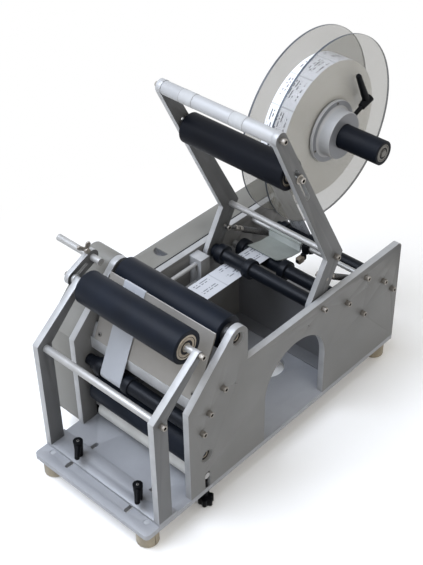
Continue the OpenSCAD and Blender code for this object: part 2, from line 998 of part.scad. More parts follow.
// Outline of a press arm: leg, elbow and tapering upper arm
module press_arm_outline() {
    leg_u = (elbow - pivot) / norm(elbow - pivot);
    leg_n = [leg_u[1], -leg_u[0]];
    up_n = [upper_u[1], -upper_u[0]];
    hw = 18;
    he = 18;
    ht = 12;
    rear = meet(pivot + hw * leg_n, leg_u, elbow + he * up_n, handle + ht * up_n - elbow - he * up_n);
    fore = meet(pivot - hw * leg_n, leg_u, elbow - he * up_n, handle - ht * up_n - elbow + he * up_n);
    difference() {
        union() {
            translate(pivot)
                circle(hw);
            translate(handle)
                circle(ht);
            polygon([
                pivot + hw * leg_n, rear, handle + ht * up_n, handle - ht * up_n, fore,
                pivot - hw * leg_n
            ]);
        }
        translate(pivot)
            circle(d = shaft_hole);
        for (c = [handle, elbow, spring_stud])
            translate(c)
                circle(d = hole_d);
        bar2d(slot_high - press_slot_w / 2 * upper_u, press_slot_w / 2,
            slot_low + press_slot_w / 2 * upper_u, press_slot_w / 2 - 0.001);
    }
}

module left_press_arm() {
    color("silver")
        slab(-arm_x, press_arm_t)
            press_arm_outline();
}

module right_press_arm() {
    color("silver")
        slab(arm_x - press_arm_t, press_arm_t)
            press_arm_outline();
}

module handle_bar() {
    color("gainsboro")
        tapped_rod(-arm_x + press_arm_t, arm_x - press_arm_t, handle, handle_d);
}

module elbow_rod() {
    color("gainsboro")
        tapped_rod(-arm_x + press_arm_t, arm_x - press_arm_t, elbow, 11);
}

module press_arm_screws() {
    color("gainsboro")
        for (s = [-1, 1]) {
            for (c = [handle, elbow])
                cap_screw(s * arm_x, c, s, press_arm_t + 12);
            rod(s > 0 ? spring_x - 6 : -arm_x, s > 0 ? arm_x : -spring_x + 6, spring_stud, spring_stud_d);
            rod(s > 0 ? spring_x - 6 : -spring_x + 3, s > 0 ? spring_x - 3 : -spring_x + 6, spring_stud, 10);
        }
}

module press_roller_axle() {
    x = arm_x - press_arm_t - gap;
    color("gainsboro") {
        rod(-x, x, press_c, shaft_d);
        rod(-arm_x - 7, arm_x + 7, press_c, stud_d);
        for (s = [-1, 1])
            translate([s * (arm_x + gap), press_c[0], press_c[1]])
                rotate([0, s * 90, 0])
                    cylinder(d = 14, h = 6, $fn = 6);
    }
}

module press_roller() {
    color("#22242a")
        ring(-press_half, press_half, press_c, press_d, shaft_hole);
}

// Middle line of a spring, each entry [point, radial direction], in the spring's own frame (u, v, w)
function spring_line() =
    let (
        l = norm(spring_stud - anchor),
        lead = 74,
        tail = 30,
        run = l - lead - tail,
        ra = anchor_d / 2 + wire_d / 2 + 0.4,
        rs = spring_r,
        n = spring_turns * 8
    )
    concat(
        [for (k = [8 : -1 : 1]) let (a = k * 26) [
            [ra * cos(a), 0, -ra * sin(a)], [cos(a), 0, -sin(a)]
        ]],
        [[[ra, 0, 0], [1, 0, 0]]],
        [[[rs, 0, lead - 20], [1, 0, 0]]],
        [for (k = [0 : n]) let (a = k * 45) [
            [rs * cos(a), rs * sin(a), lead + run * k / n], [cos(a), sin(a), 0]
        ]],
        [[[rs, 0, l - 8], [1, 0, 0]]],
        [for (k = [0 : 8]) let (a = k * 26) [
            [rs * cos(a), 0, l + rs * sin(a)], [cos(a), 0, sin(a)]
        ]]
    );

SPRING = spring_line();
// Least distance between two curls' middle lines, less the wire
SPRING_GAP = min([
    for (i = [0 : len(SPRING) - 7], j = [i + 6 : min(i + 18, len(SPRING) - 1)])
        norm(SPRING[i][0] - SPRING[j][0])
]) - wire_d;
echo(spring_gap = SPRING_GAP);

// Place of a spring point in the machine
function spring_place(p) =
    let (w = (spring_stud - anchor) / norm(spring_stud - anchor), u = [-w[1], w[0]])
    [-p[1], anchor[0] + p[0] * u[0] + p[2] * w[0], anchor[1] + p[0] * u[1] + p[2] * w[1]];

// One spring as an unbroken tube
module spring(x) {
    m = len(SPRING);
    rings = [
        for (i = [0 : m - 1])
            let (
                a = SPRING[max(i - 1, 0)][0],
                b = SPRING[min(i + 1, m - 1)][0],
                t = (b - a) / norm(b - a),
                n0 = SPRING[i][1] - (SPRING[i][1] * t) * t,
                n = n0 / norm(n0),
                q = cross(t, n)
            )
            for (k = [0 : 5])
                spring_place(SPRING[i][0] + wire_d / 2 * (cos(k * 60) * n + sin(k * 60) * q))
    ];
    sides = [
        for (i = [0 : m - 2], k = [0 : 5])
            let (a = i * 6 + k, b = i * 6 + (k + 1) % 6)
            each [[a, a + 6, b], [b, a + 6, b + 6]]
    ];
    ends = concat(
        [for (k = [1 : 4]) [0, k, k + 1]],
        [for (k = [1 : 4]) [(m - 1) * 6, (m - 1) * 6 + k + 1, (m - 1) * 6 + k]]
    );
    translate([x, 0, 0])
        polyhedron(points = rings, faces = concat(sides, ends));
}

module return_springs() {
    color("gray")
        for (s = [-1, 1])
            spring(s * spring_x);
}

module drive_roller() {
    color("#22242a")
        ring(-roller_half, roller_half, drive_c, drive_d, shaft_d + 2 * seat_fit);
}

module drive_shaft() {
    color("gainsboro") {
        rod(drive_end, in_x + bearing_w - 1, drive_c, shaft_d);
        for (s = [-1, 1])
            rod(s > 0 ? roller_half : -roller_half - 7, s > 0 ? roller_half + 7 : -roller_half, drive_c, 34);
        rod(-half_w - 32, -half_w - 16, drive_c, pulley_d);
    }
}

module traction_roller() {
    c = [traction_y, traction_z];
    color("#22242a") {
        rod(-roller_half, roller_half, c, traction_d);
        rod(-half_w - 18, in_x + bearing_w - 1, c, shaft_d);
        rod(-half_w - 15, -half_w - 7, c, pulley_d);
    }
}

module pinch_axle() {
    color("gainsboro")
        rod(-half_w + 1, half_w - 1, [traction_y, pinch_z], shaft_d);
}

module pinch_roller() {
    color("lightgray")
        ring(-roller_half + 6, roller_half - 6, [traction_y, pinch_z], pinch_d, shaft_hole);
}

// Star knob with its screw
module star_knob(x) {
    top = pinch_z - shaft_d / 2 - pinch_drop - gap;
    color("#202226")
        translate([x, traction_y, 0]) {
            translate([0, 0, -base_t - 20])
                cylinder(d = 8, h = base_t + 20 + top);
            translate([0, 0, -base_t - 30]) {
                cylinder(d = knob_d - 6, h = 14);
                for (k = [0 : 5])
                    rotate(k * 60)
                        translate([knob_d / 2 - 4, 0, 0])
                            cylinder(d = 8, h = 14);
            }
        }
}

module left_star_knob() {
    star_knob(-knob_x);
}

module right_star_knob() {
    star_knob(knob_x);
}

module motor_pulley() {
    c = [motor_y, motor_z];
    color("gainsboro") {
        rod(-half_w - 34, -in_x + 30, c, 10);
        rod(-half_w - 15, -half_w - 7, c, pulley_d);
        rod(-half_w - 32, -half_w - 16, c, pulley_d);
    }
}

// Guide bar with a collar on each side of the web, set off from its edges
module guide_bar(c, d, cd, off) {
    color("#26282c")
        difference() {
            union() {
                rod(-guide_half, guide_half, c, d);
                for (x = [web_x0 - min(off, 9) - collar_w, web_x1 + off])
                    rod(x, x + collar_w, c, cd);
            }
            rod(-guide_half - 1, guide_half + 1, c, shaft_hole);
        }
}

module front_guide_bar() {
    guide_bar(pivot, guide_d, collar_d, 1);
}

module middle_guide_bar() {
    guide_bar([middle_y, middle_z], guide_d, collar_d, 26);
}

module rear_guide_bar() {
    guide_bar([rear_y, rear_z], guide_d, collar_d, 1);
}

module lower_guide_roller() {
    guide_bar([low_y, low_z], guide_d, low_collar_d, 1);
}

module reel_tube() {
    color("#26282c")
        difference() {
            union() {
                rod(disc_in_x - 8, tube_end, reel_c, tube_d);
                rod(disc_in_x - 8, disc_in_x, reel_c, 100);
                rod(web_x0, web_x0 + 12, reel_c, core_d - 2 * gap);
            }
            rod(disc_in_x - 9, tube_end + 1, reel_c, shaft_d + 4);
            rod(disc_in_x - 9, disc_in_x, reel_c, reel_bearing_d + 2 * run_fit);
            rod(tube_end - 8, tube_end + 1, reel_c, reel_bearing_d + 2 * run_fit);
        }
}

module inner_disc() {
    color("lightsteelblue", 0.5)
        ring(disc_in_x, web_x0, reel_c, disc_d, tube_d + 2 * seat_fit);
}

module label_roll() {
    color("white")
        ring(web_x0, web_x1, reel_c, roll_d, core_d);
}

module outer_disc() {
    color("lightsteelblue", 0.5)
        ring(hub_x, hub_face, reel_c, disc_d, core_d - 2 * gap + 2 * seat_fit);
}

module outer_hub() {
    color("silver")
        difference() {
            union() {
                rod(web_x1 - 12, hub_face + 1, reel_c, core_d - 2 * gap);
                rod(hub_face, hub_face + 6, reel_c, 2 * hub_flange_r);
                rod(hub_face, hub_end, reel_c, 2 * hub_boss_r);
            }
            rod(web_x1 - 13, hub_end + 1, reel_c, tube_d + 2 * run_fit);
            translate([hub_lever_x, reel_y, reel_z])
                rotate([hub_lever_a - 90, 0, 0])
                    cylinder(d = 8 + 2 * gap, h = hub_boss_r + 5);
        }
}

module hub_lever() {
    color("#202226")
        translate([hub_lever_x, reel_y, reel_z])
            rotate([hub_lever_a - 90, 0, 0]) {
                translate([0, 0, tube_r + gap])
                    cylinder(d = 8, h = hub_boss_r - tube_r + 34);
                translate([0, 0, hub_boss_r + 24])
                    cylinder(d1 = 13, d2 = 18, h = 25);
                translate([0, 0, hub_boss_r + 40])
                    rotate([92, 0, 0]) {
                        cylinder(d1 = 14, d2 = 10, h = 66);
                        translate([0, 0, 66])
                            sphere(d = 10);
                    }
            }
}

module press_plate() {
    x0 = press_plate_x[0];
    l = press_plate_x[1] - press_plate_x[0];
    lip = 5;
    color("#b9bfae")
        difference() {
            union() {
                rod(x0, x0 + l, [thin_y, thin_z], thin_d + 5);
                slab(x0, l)
                    polygon([
                        [thin_y - 7, thin_z + 2], [thin_y - 5, thin_z + 2], [thin_y - 5, thin_z - 13],
                        [thin_y - 7, thin_z - 13]
                    ]);
                translate([x0, thin_y - 5, thin_z - 13])
                    rotate([-lip, 0, 0])
                        linear_extrude(1.6)
                            polygon([
                                [0, 0], [0, -26], [-6, -54], [l - 14, -54], [l - 7, -46], [l - 4, -36],
                                [l - 1, -24], [l, 0]
                            ]);
            }
            rod(x0 - 1, x0 + l + 1, [thin_y, thin_z], thin_d + 2 * run_fit);
        }
}

// Machine frame to row frame: origin at the middle of the footprint, on the ground
module placed() {
    translate([-mid_x, -mid_y, stand])
        children();
}

placed() {
    base_plate();
    rubber_feet();
    frame_screws();
    left_side_plate();
    right_side_plate();
    tie_rods();
    rail_blocks();
    cross_bar();
    peel_plate();
    control_box();
    control_box_lid();
    power_inlet();
    rocker_switch();
    drive_motor();
    circuit_board();
    ball_bearings();
    partition_wall();
    reel_post();
    reel_axle();
    label_sensor();
    drive_belts();
    label_web();
    sliding_plate();
    left_front_arm();
    right_front_arm();
    front_frame_rods();
    front_roller();
    front_roller_bearings();
    left_clamp_lever();
    right_clamp_lever();
    stop_link();
    stop_rod();
    stop_wing_screw();
    left_press_arm();
    right_press_arm();
    handle_bar();
    elbow_rod();
    press_arm_screws();
    press_roller_axle();
    press_roller();
    return_springs();
    drive_roller();
    drive_shaft();
    traction_roller();
    pinch_axle();
    pinch_roller();
    left_star_knob();
    right_star_knob();
    motor_pulley();
    front_guide_bar();
    middle_guide_bar();
    rear_guide_bar();
    lower_guide_roller();
    reel_tube();
    inner_disc();
    label_roll();
    outer_disc();
    outer_hub();
    hub_lever();
    press_plate();
}
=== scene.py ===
"""Looks of the bench labelling machine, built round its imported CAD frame.

Lengths in the classes are millimetres in the machine's own frame: x to the operator's right, y from the
base's front edge to the rear, z up from the top of the base plate. `place` turns them into metres in the row
frame.
"""

import json
import logging
import math
from dataclasses import dataclass, field
from enum import Enum
from typing import Optional, Sequence, Union

import bmesh
import bpy
from bpy.types import Material, Mesh, Node, NodeSocket, NodeTree, Object, World
from mathutils import Matrix, Vector

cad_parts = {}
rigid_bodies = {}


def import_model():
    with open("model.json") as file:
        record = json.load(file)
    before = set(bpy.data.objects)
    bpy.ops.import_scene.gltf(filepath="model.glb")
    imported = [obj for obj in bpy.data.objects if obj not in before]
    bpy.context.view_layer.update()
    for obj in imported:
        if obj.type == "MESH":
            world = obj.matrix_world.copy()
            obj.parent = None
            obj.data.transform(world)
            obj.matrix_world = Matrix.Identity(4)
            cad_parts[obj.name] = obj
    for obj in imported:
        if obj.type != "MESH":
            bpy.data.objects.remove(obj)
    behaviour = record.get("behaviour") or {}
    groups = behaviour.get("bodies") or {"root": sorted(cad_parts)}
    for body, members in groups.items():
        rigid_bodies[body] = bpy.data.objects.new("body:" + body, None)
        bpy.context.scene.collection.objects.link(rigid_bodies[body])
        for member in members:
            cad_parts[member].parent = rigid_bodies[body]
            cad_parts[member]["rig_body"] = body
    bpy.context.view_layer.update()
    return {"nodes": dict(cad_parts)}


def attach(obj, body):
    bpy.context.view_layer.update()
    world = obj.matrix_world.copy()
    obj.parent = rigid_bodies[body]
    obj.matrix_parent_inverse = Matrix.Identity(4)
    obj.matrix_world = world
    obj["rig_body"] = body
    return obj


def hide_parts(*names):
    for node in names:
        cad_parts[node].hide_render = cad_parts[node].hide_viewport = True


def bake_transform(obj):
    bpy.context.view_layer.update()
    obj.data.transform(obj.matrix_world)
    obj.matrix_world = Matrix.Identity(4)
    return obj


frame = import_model()

LOG = logging.getLogger("labeller")
IMAGE = (423, 565)
MID_X, MID_Y, STAND = -39.0, 407.85, 44.0
# Axes along x that several classes share, as (y, z).
REEL_AXIS = (642.7, 382.3)
PRESS_AXIS = (368.364, 482.085)
LOWER_GUIDE = (130.0, 134.7)
# Bends in degrees: below FLAT two faces lie in one plane, and past SHARP their edge is a corner.
FLAT, SHARP = 0.5, 40.0
FULL_TURN = 2 * math.pi
WHITE = (1.0, 1.0, 1.0, 1.0)
Point2 = tuple[float, float]
Point3 = tuple[float, float, float]
Ring = tuple[float, float, int]
Work = bmesh.types.BMesh
Vert = bmesh.types.BMVert


class Side(Enum):
    """Side of the machine, as the operator sees it; the value is the sign of x."""

    LEFT = -1
    RIGHT = 1


class Weave(Enum):
    """Direction that the fine lines of a surface run in."""

    EVEN = (1.0, 1.0, 1.0)
    ALONG_X = (0.04, 1.0, 1.0)
    ALONG_Y = (1.0, 0.04, 1.0)
    ROUND_X = (1.0, 0.05, 0.05)


EVEN, ALONG_X, ALONG_Y, ROUND_X = Weave


def linear(colour: str) -> tuple[float, float, float, float]:
    """Turn an sRGB hex colour into linear values.

    Args:
        colour: Colour such as "#b4b2ac".

    Returns:
        Red, green and blue, linear, and an alpha of 1.
    """
    parts = [int(colour[i:i + 2], 16) / 255 for i in (1, 3, 5)]
    red, green, blue = (c / 12.92 if c <= 0.04045 else ((c + 0.055) / 1.055) ** 2.4 for c in parts)
    return red, green, blue, 1.0


def place(x: float, y: float, z: float) -> Vector:
    """Turn millimetres of the machine's frame into metres of the row frame."""
    return Vector(((x - MID_X) / 1000, (y - MID_Y) / 1000, (z + STAND) / 1000))


def add(tree: NodeTree, kind: str, settings: Optional[dict] = None, inputs: Optional[dict] = None) -> Node:
    """Add a node with its settings, input values and links.

    Args:
        tree: Node tree that gets the node.
        kind: Node type, such as "ShaderNodeTexNoise".
        settings: Properties of the node by name.
        inputs: Values or output sockets by input name or number.

    Returns:
        The new node.
    """
    node = tree.nodes.new(kind)
    for key, value in (settings or {}).items():
        setattr(node, key, value)
    for key, value in (inputs or {}).items():
        if isinstance(value, NodeSocket):
            tree.links.new(value, node.inputs[key])
        else:
            node.inputs[key].default_value = value
    return node


def bare_tree(owner: Union[Material, World]) -> NodeTree:
    """Empty the node tree of a material or a world.

    Args:
        owner: The material or world.

    Returns:
        Its tree, without nodes.
    """
    owner.use_nodes = True
    owner.node_tree.nodes.clear()
    return owner.node_tree


@dataclass(frozen=True)
class Finish:
    """A surface: what it is made of, and how it was worked.

    The grain is a bump of the real grit or line spacing, and the mottle a slow change of tone from handling.
    """

    name: str
    colour: str
    roughness: float
    metallic: float = 0.0
    grain_mm: float = 1.2
    grain: float = 0.15
    weave: Weave = EVEN
    mottle_mm: float = 60.0
    mottle: float = 0.06
    specular: float = 0.5
    alpha: float = 1.0
    bump_mm: float = 0.4
    uneven: float = 0.05
    tone_span: float = 2.2

    def material(self) -> Material:
        """Make the material on first use.

        Returns:
            The material, which all pieces of this finish share.
        """
        known = bpy.data.materials.get(self.name)
        if known:
            return known
        material = bpy.data.materials.new(self.name)
        tree = bare_tree(material)
        where = add(tree, "ShaderNodeTexCoord").outputs["Object"]
        lines = add(tree, "ShaderNodeMapping", inputs={"Vector": where, "Scale": self.weave.value})
        grit = add(tree, "ShaderNodeTexNoise", inputs={
            "Vector": lines.outputs["Vector"], "Scale": 1000 / self.grain_mm, "Detail": 3.0})
        patch = add(tree, "ShaderNodeTexNoise", inputs={
            "Vector": where, "Scale": 1000 / self.mottle_mm, "Detail": 4.0}).outputs["Fac"]
        gloss = add(tree, "ShaderNodeMapRange", inputs={
            "Value": patch, "From Min": 0.25, "From Max": 0.75,
            "To Min": max(0.03, self.roughness - self.uneven),
            "To Max": min(1.0, self.roughness + self.uneven)})
        bump = add(tree, "ShaderNodeBump", inputs={
            "Height": grit.outputs["Fac"], "Strength": self.grain, "Distance": self.bump_mm / 1000})
        shader = add(tree, "ShaderNodeBsdfPrincipled", inputs={
            "Base Color": self.tint(tree, where, patch), "Roughness": gloss.outputs["Result"],
            "Normal": bump.outputs["Normal"], "Metallic": self.metallic, "Alpha": self.alpha,
            "Specular IOR Level": self.specular})
        add(tree, "ShaderNodeOutputMaterial", inputs={"Surface": shader.outputs["BSDF"]})
        return material

    def tint(self, tree: NodeTree, where: NodeSocket, patch: NodeSocket) -> NodeSocket:
        """Make the colour, a little lighter and darker in patches.

        Args:
            tree: Tree of the material.
            where: Object coordinates.
            patch: Slow noise from 0 to 1.

        Returns:
            The socket with the colour.
        """
        ramp = add(tree, "ShaderNodeValToRGB", inputs={"Fac": patch})
        for element, position, sign in zip(ramp.color_ramp.elements, (0.28, 0.72), (-1, 1)):
            tone = 1 + sign * self.tone_span * self.mottle
            element.position = position
            element.color = [min(1.0, c * tone) for c in linear(self.colour)[:3]] + [1.0]
        return ramp.outputs["Color"]


# Bead-blasted, clear-anodised aluminium: soft grey with a fine sparkle and no mirror image.
PLATE = Finish("anodised_aluminium_plate", "#717170", 0.50, 0.10, 1.4, 0.18, EVEN, 90.0, 0.05, 0.3)
# The same on the base and the sliding plate, whose tops carry long rolling lines; lighter and colder than the
# plates, as painted light from the sky above.
BASE = Finish("anodised_aluminium_base", "#929498", 0.46, 0.14, 1.2, 0.16, ALONG_X, 80.0, 0.05, 0.35)
# Milled and anodised arms, a shade darker than the plates.
ARM = Finish("anodised_aluminium_bar", "#5e5f60", 0.46, 0.12, 1.2, 0.16, EVEN, 70.0, 0.05, 0.3)
# Milled edges of plates and bars, lighter than the blasted faces: partly the cutter's brighter finish, partly
# a painted highlight where light catches the edges.
MILLED_AND_LIT = Finish("milled_aluminium_edge", "#a4a5a6", 0.40, 0.22, 0.9, 0.2, ALONG_X, 30.0, 0.06, 0.4)
# Turned and satin-anodised faces of the hub, with fine lines round its axis.
TURNED = Finish("turned_aluminium", "#7b7d82", 0.42, 0.25, 0.8, 0.22, ROUND_X, 50.0, 0.04, 0.4)
# Silver-anodised handle tube and hub sides, the lightest metal here.
HANDLE = Finish("silver_anodised_tube", "#a6a7a8", 0.52, 0.15, 0.8, 0.18, ROUND_X, 50.0, 0.03, 0.4)
# Ground and satin-polished stainless rod: a broad soft highlight along its length.
ROD = Finish("ground_stainless_steel", "#a2a2a1", 0.42, 0.42, 0.7, 0.12, ROUND_X, 40.0, 0.04)
# Dull zinc plate of the reel axle, the motor pulley, the small screws and the bearings inside the machine.
ZINC = Finish("dull_zinc_plate", "#6f6d69", 0.50, 0.45, 0.9, 0.2, EVEN, 14.0, 0.10)
# Brushed stainless sheet of the peel plate, warm grey with lines along it.
PEEL = Finish("brushed_stainless_sheet", "#8b8883", 0.46, 0.20, 0.8, 0.14, ALONG_X, 60.0, 0.05, 0.4)
# Cold-headed stainless screws.
SCREW = Finish("stainless_screw_steel", "#8b867f", 0.38, 0.70, 0.6, 0.12, EVEN, 12.0, 0.08)
# Satin zinc plugs over the foot screws.
PLUG = Finish("satin_zinc_plug", "#a6a8ab", 0.46, 0.2, 0.7, 0.12, EVEN, 10.0, 0.05, 0.4)
# Nickel-plated screws, nuts and washers, warmer than stainless steel.
NICKEL = Finish("nickel_plated_steel", "#a5a19b", 0.32, 0.75, 0.6, 0.12, EVEN, 10.0, 0.10)
# Bearing steel under a film of oil, a little warm.
BEARING = Finish("oiled_bearing_steel", "#a1988a", 0.34, 0.70, 0.5, 0.10, EVEN, 9.0, 0.08)
# Pressed shield of a bearing, warmer and duller than its races.
SHIELD = Finish("pressed_bearing_shield", "#9a8f80", 0.40, 0.65, 0.8, 0.12, EVEN, 9.0, 0.10)
# Black rubber of the lid's and the plate bearings' seals, and the dark gap between a race and its shield. On
# the plate bearings the black is partly painted shade of the hole, and in the sunk gaps it is painted shade.
SEAL_AND_SHADE = Finish("black_nitrile_seal", "#15151a", 0.55, 0.0, 0.8, 0.2, EVEN, 8.0, 0.08, 0.15)
# Inside of a hexagon socket, painted dark as the shade in the hollow.
SOCKET = Finish("greasy_socket_steel", "#242321", 0.5, 0.5, 0.8, 0.15, EVEN, 6.0, 0.1, 0.2)
# Moulded nitrile rubber, ground to size: satin, blue-black.
RUBBER = Finish("ground_nitrile_rubber", "#11161f", 0.46, 0.0, 0.9, 0.30, ROUND_X, 45.0, 0.10, 0.11)
# Ground neoprene of the press roller, blacker than the bottle rollers.
NEOPRENE = Finish("ground_neoprene_rubber", "#0b0e15", 0.5, 0.0, 0.9, 0.30, ROUND_X, 45.0, 0.10, 0.09)
# Grey silicone sleeve of the pinch roller.
SLEEVE = Finish("grey_silicone_rubber", "#c6c6c2", 0.55, 0.0, 1.0, 0.2, ROUND_X, 40.0, 0.06, 0.3)
# Cast polyurethane feet, cream and slightly soiled.
FOOT = Finish("cream_polyurethane", "#8d8472", 0.5, 0.0, 1.6, 0.2, EVEN, 18.0, 0.12, 0.3)
# Glass-filled nylon grips and knobs with a fine spark-eroded grain.
GRIP = Finish("glass_filled_nylon", "#08090c", 0.45, 0.0, 0.9, 0.35, EVEN, 20.0, 0.10, 0.08)
# Black anodised guide tubes and collars, slightly blue.
GUIDE = Finish("black_anodised_aluminium", "#0c1017", 0.42, 0.12, 0.8, 0.15, ROUND_X, 30.0, 0.08, 0.18)
# Hard black anodising of the reel tube, blacker than the guides.
TUBE = Finish("hard_black_anodising", "#080c14", 0.55, 0.0, 0.8, 0.3, ROUND_X, 30.0, 0.10, 0.12)
# Smoked polycarbonate of the sensor's head.
SMOKED = Finish("smoked_polycarbonate", "#6f665a", 0.35, 0.0, 1.2, 0.15, EVEN, 10.0, 0.12, 0.3)
# Powder-coated sheet of the control box, warm grey with a fine orange peel.
SHEET = Finish("powder_coated_sheet", "#767570", 0.48, 0.05, 1.8, 0.22, EVEN, 70.0, 0.03, 0.3)
# A darker grey than the box's sheet, on the partition wall and in the lid's finger scoop, where it is painted
# shade for the hollow.
DARK_SHEET = Finish("dark_powder_coated_sheet", "#6a6b6d", 0.5, 0.1, 1.8, 0.22, EVEN, 70.0, 0.06)
# Lightly passivated sheet of the press plate, grey with a trace of green.
PRESS_SHEET = Finish("passivated_steel_sheet", "#878c88", 0.44, 0.15, 1.5, 0.15, ALONG_X, 40.0, 0.07, 0.4)
# Oiled spring steel, dark, of the return springs and the drive shaft.
SPRING = Finish("oiled_spring_steel", "#4a4a4a", 0.38, 0.7, 0.5, 0.1, EVEN, 8.0, 0.12)
# Die-cast, enamelled motor housing.
MOTOR = Finish("enamelled_die_casting", "#3c3e42", 0.45, 0.1, 1.6, 0.25, EVEN, 30.0, 0.08)
# Neoprene timing belt.
BELT = Finish("neoprene_belt", "#1d1d1e", 0.62, 0.0, 1.2, 0.3, EVEN, 20.0, 0.08, 0.2)
# Glass-epoxy board with green solder resist.
BOARD = Finish("glass_epoxy_board", "#1f5a38", 0.35, 0.0, 0.8, 0.15, ALONG_Y, 25.0, 0.08)
# Cast acrylic sheet: clear, pale warm grey, with a gloss.
CLEAR = Finish("cast_acrylic_sheet", "#82817a", 0.16, 0.0, 3.0, 0.02, EVEN, 120.0, 0.03, 0.2, 0.36)
# Saw-cut acrylic edge, painted dark blue-grey as a reflection of the light that it gathers.
CLEAR_EDGE = Finish("sawn_acrylic_edge", "#39414c", 0.3, 0.0, 1.0, 0.2, EVEN, 60.0, 0.08, 0.3, 0.9)
# Glassine liner, grey-white with a silicone sheen.
LINER = Finish("silicone_glassine_liner", "#a2a5aa", 0.42, 0.0, 1.5, 0.06, EVEN, 50.0, 0.03, 0.3)
# Paper tape wound on the handle.
TAPE = Finish("paper_tape", "#a9aaaa", 0.6, 0.0, 0.8, 0.2, EVEN, 14.0, 0.03, 0.3)
# Edge of the tape, painted darker as the shade at its step.
TAPE_EDGE_SHADE = Finish("soiled_tape_edge", "#83827f", 0.7, 0.0, 0.8, 0.2, EVEN, 14.0, 0.06, 0.2)
# Cardboard core of the roll.
CORE = Finish("grey_board_core", "#8f8575", 0.75, 0.0, 0.8, 0.3, EVEN, 15.0, 0.10)


@dataclass(frozen=True)
class PrintedLabel(Finish):
    """Coated label paper with generic rows of grey bars, read from the piece's own UV map in millimetres.

    u runs across the web and v along it. Labels follow each other at `pitch_mm`, with a faint line between.
    Cells of one row by one word are printed at random, inside the label's margins and body. Rows are counted
    in cycles, and a row that counts less than `blank_rows` stays blank.
    """

    pitch_mm: float = 62.0
    gap_mm: float = 2.5
    row_mm: float = 5.0
    word_mm: float = 2.8
    ink: float = 0.72
    cycle_rows: float = 4.0
    blank_rows: float = 1.5
    blank_words: float = 0.40
    bar: Point2 = (0.24, 0.72)
    margins: Point2 = (3.0, 44.0)
    body: Point2 = (10.0, 46.0)
    faint: float = 0.55
    line_colour: str = "#8d9096"
    ink_colour: str = "#4a4d55"

    def tint(self, tree: NodeTree, where: NodeSocket, patch: NodeSocket) -> NodeSocket:
        """Make the paper's colour, with its bars and the line between labels.

        Args:
            tree: Tree of the material.
            where: Object coordinates, not used here.
            patch: Slow noise, not used here.

        Returns:
            The socket with the colour.
        """
        uv = add(tree, "ShaderNodeUVMap", {"uv_map": "UVMap"}).outputs["UV"]
        across, along, _ = add(tree, "ShaderNodeSeparateXYZ", inputs={0: uv}).outputs
        cells = add(tree, "ShaderNodeVectorMath", {"operation": "DIVIDE"}, {
            0: uv, 1: (self.row_mm, self.word_mm, 1.0)})
        cell = add(tree, "ShaderNodeVectorMath", {"operation": "FLOOR"}, {0: cells.outputs[0]})
        row, word, _ = add(tree, "ShaderNodeSeparateXYZ", inputs={0: cell.outputs[0]}).outputs
        spot = add(tree, "ShaderNodeCombineXYZ", inputs={0: word, 1: row})
        chance = add(tree, "ShaderNodeTexWhiteNoise", {"noise_dimensions": "2D"}, {
            "Vector": spot.outputs[0]}).outputs["Value"]
        following = add(tree, "ShaderNodeMath", {"operation": "ADD"}, {0: row, 1: 1.0}).outputs[0]
        inside, height, turn = (
            add(tree, "ShaderNodeMath", {"operation": "FLOORED_MODULO"}, {0: value, 1: period}).outputs[0]
            for value, period in (
                (along, self.pitch_mm), (across, self.row_mm), (following, self.cycle_rows)))
        ink = self.ink
        for operation, value, limit in (
                ("GREATER_THAN", height, self.bar[0] * self.row_mm),
                ("LESS_THAN", height, self.bar[1] * self.row_mm),
                ("GREATER_THAN", across, self.margins[0]), ("LESS_THAN", across, self.margins[1]),
                ("GREATER_THAN", inside, self.body[0]), ("LESS_THAN", inside, self.body[1]),
                ("GREATER_THAN", chance, self.blank_words), ("GREATER_THAN", turn, self.blank_rows)):
            passed = add(tree, "ShaderNodeMath", {"operation": operation}, {0: value, 1: limit}).outputs[0]
            ink = add(tree, "ShaderNodeMath", {"operation": "MULTIPLY"}, {0: passed, 1: ink}).outputs[0]
        gap = add(tree, "ShaderNodeMath", {"operation": "LESS_THAN"}, {0: inside, 1: self.gap_mm}).outputs[0]
        line = add(tree, "ShaderNodeMath", {"operation": "MULTIPLY"}, {0: gap, 1: self.faint}).outputs[0]
        colour = linear(self.colour)
        for share, other in ((line, self.line_colour), (ink, self.ink_colour)):
            colour = add(tree, "ShaderNodeMix", {"data_type": "RGBA"}, {
                0: share, 6: colour, 7: linear(other)}).outputs[2]
        return colour


@dataclass(frozen=True)
class WoundPaper(Finish):
    """Side of a wound roll: fine rings round the reel axis, drawn about 1.5 mm apart so that they show."""

    ring_mm: float = 1.5
    dark: str = "#dddcd7"

    def tint(self, tree: NodeTree, where: NodeSocket, patch: NodeSocket) -> NodeSocket:
        """Make pale rings of slightly different tone.

        Args:
            tree: Tree of the material.
            where: Object coordinates.
            patch: Slow noise, not used here.

        Returns:
            The socket with the colour.
        """
        moved = add(tree, "ShaderNodeVectorMath", {"operation": "SUBTRACT"}, {
            0: where, 1: place(0, *REEL_AXIS)})
        flat = add(tree, "ShaderNodeVectorMath", {"operation": "MULTIPLY"}, {
            0: moved.outputs[0], 1: (0.0, 1.0, 1.0)})
        radius = add(tree, "ShaderNodeVectorMath", {"operation": "LENGTH"}, {0: flat.outputs[0]})
        noise = add(tree, "ShaderNodeTexNoise", {"noise_dimensions": "1D"}, {
            "W": radius.outputs["Value"], "Scale": 1000 / self.ring_mm, "Detail": 2.0})
        ramp = add(tree, "ShaderNodeValToRGB", inputs={"Fac": noise.outputs["Fac"]})
        for element, position, tone in zip(ramp.color_ramp.elements, (0.35, 0.62), (self.dark, self.colour)):
            element.position, element.color = position, linear(tone)
        return ramp.outputs["Color"]


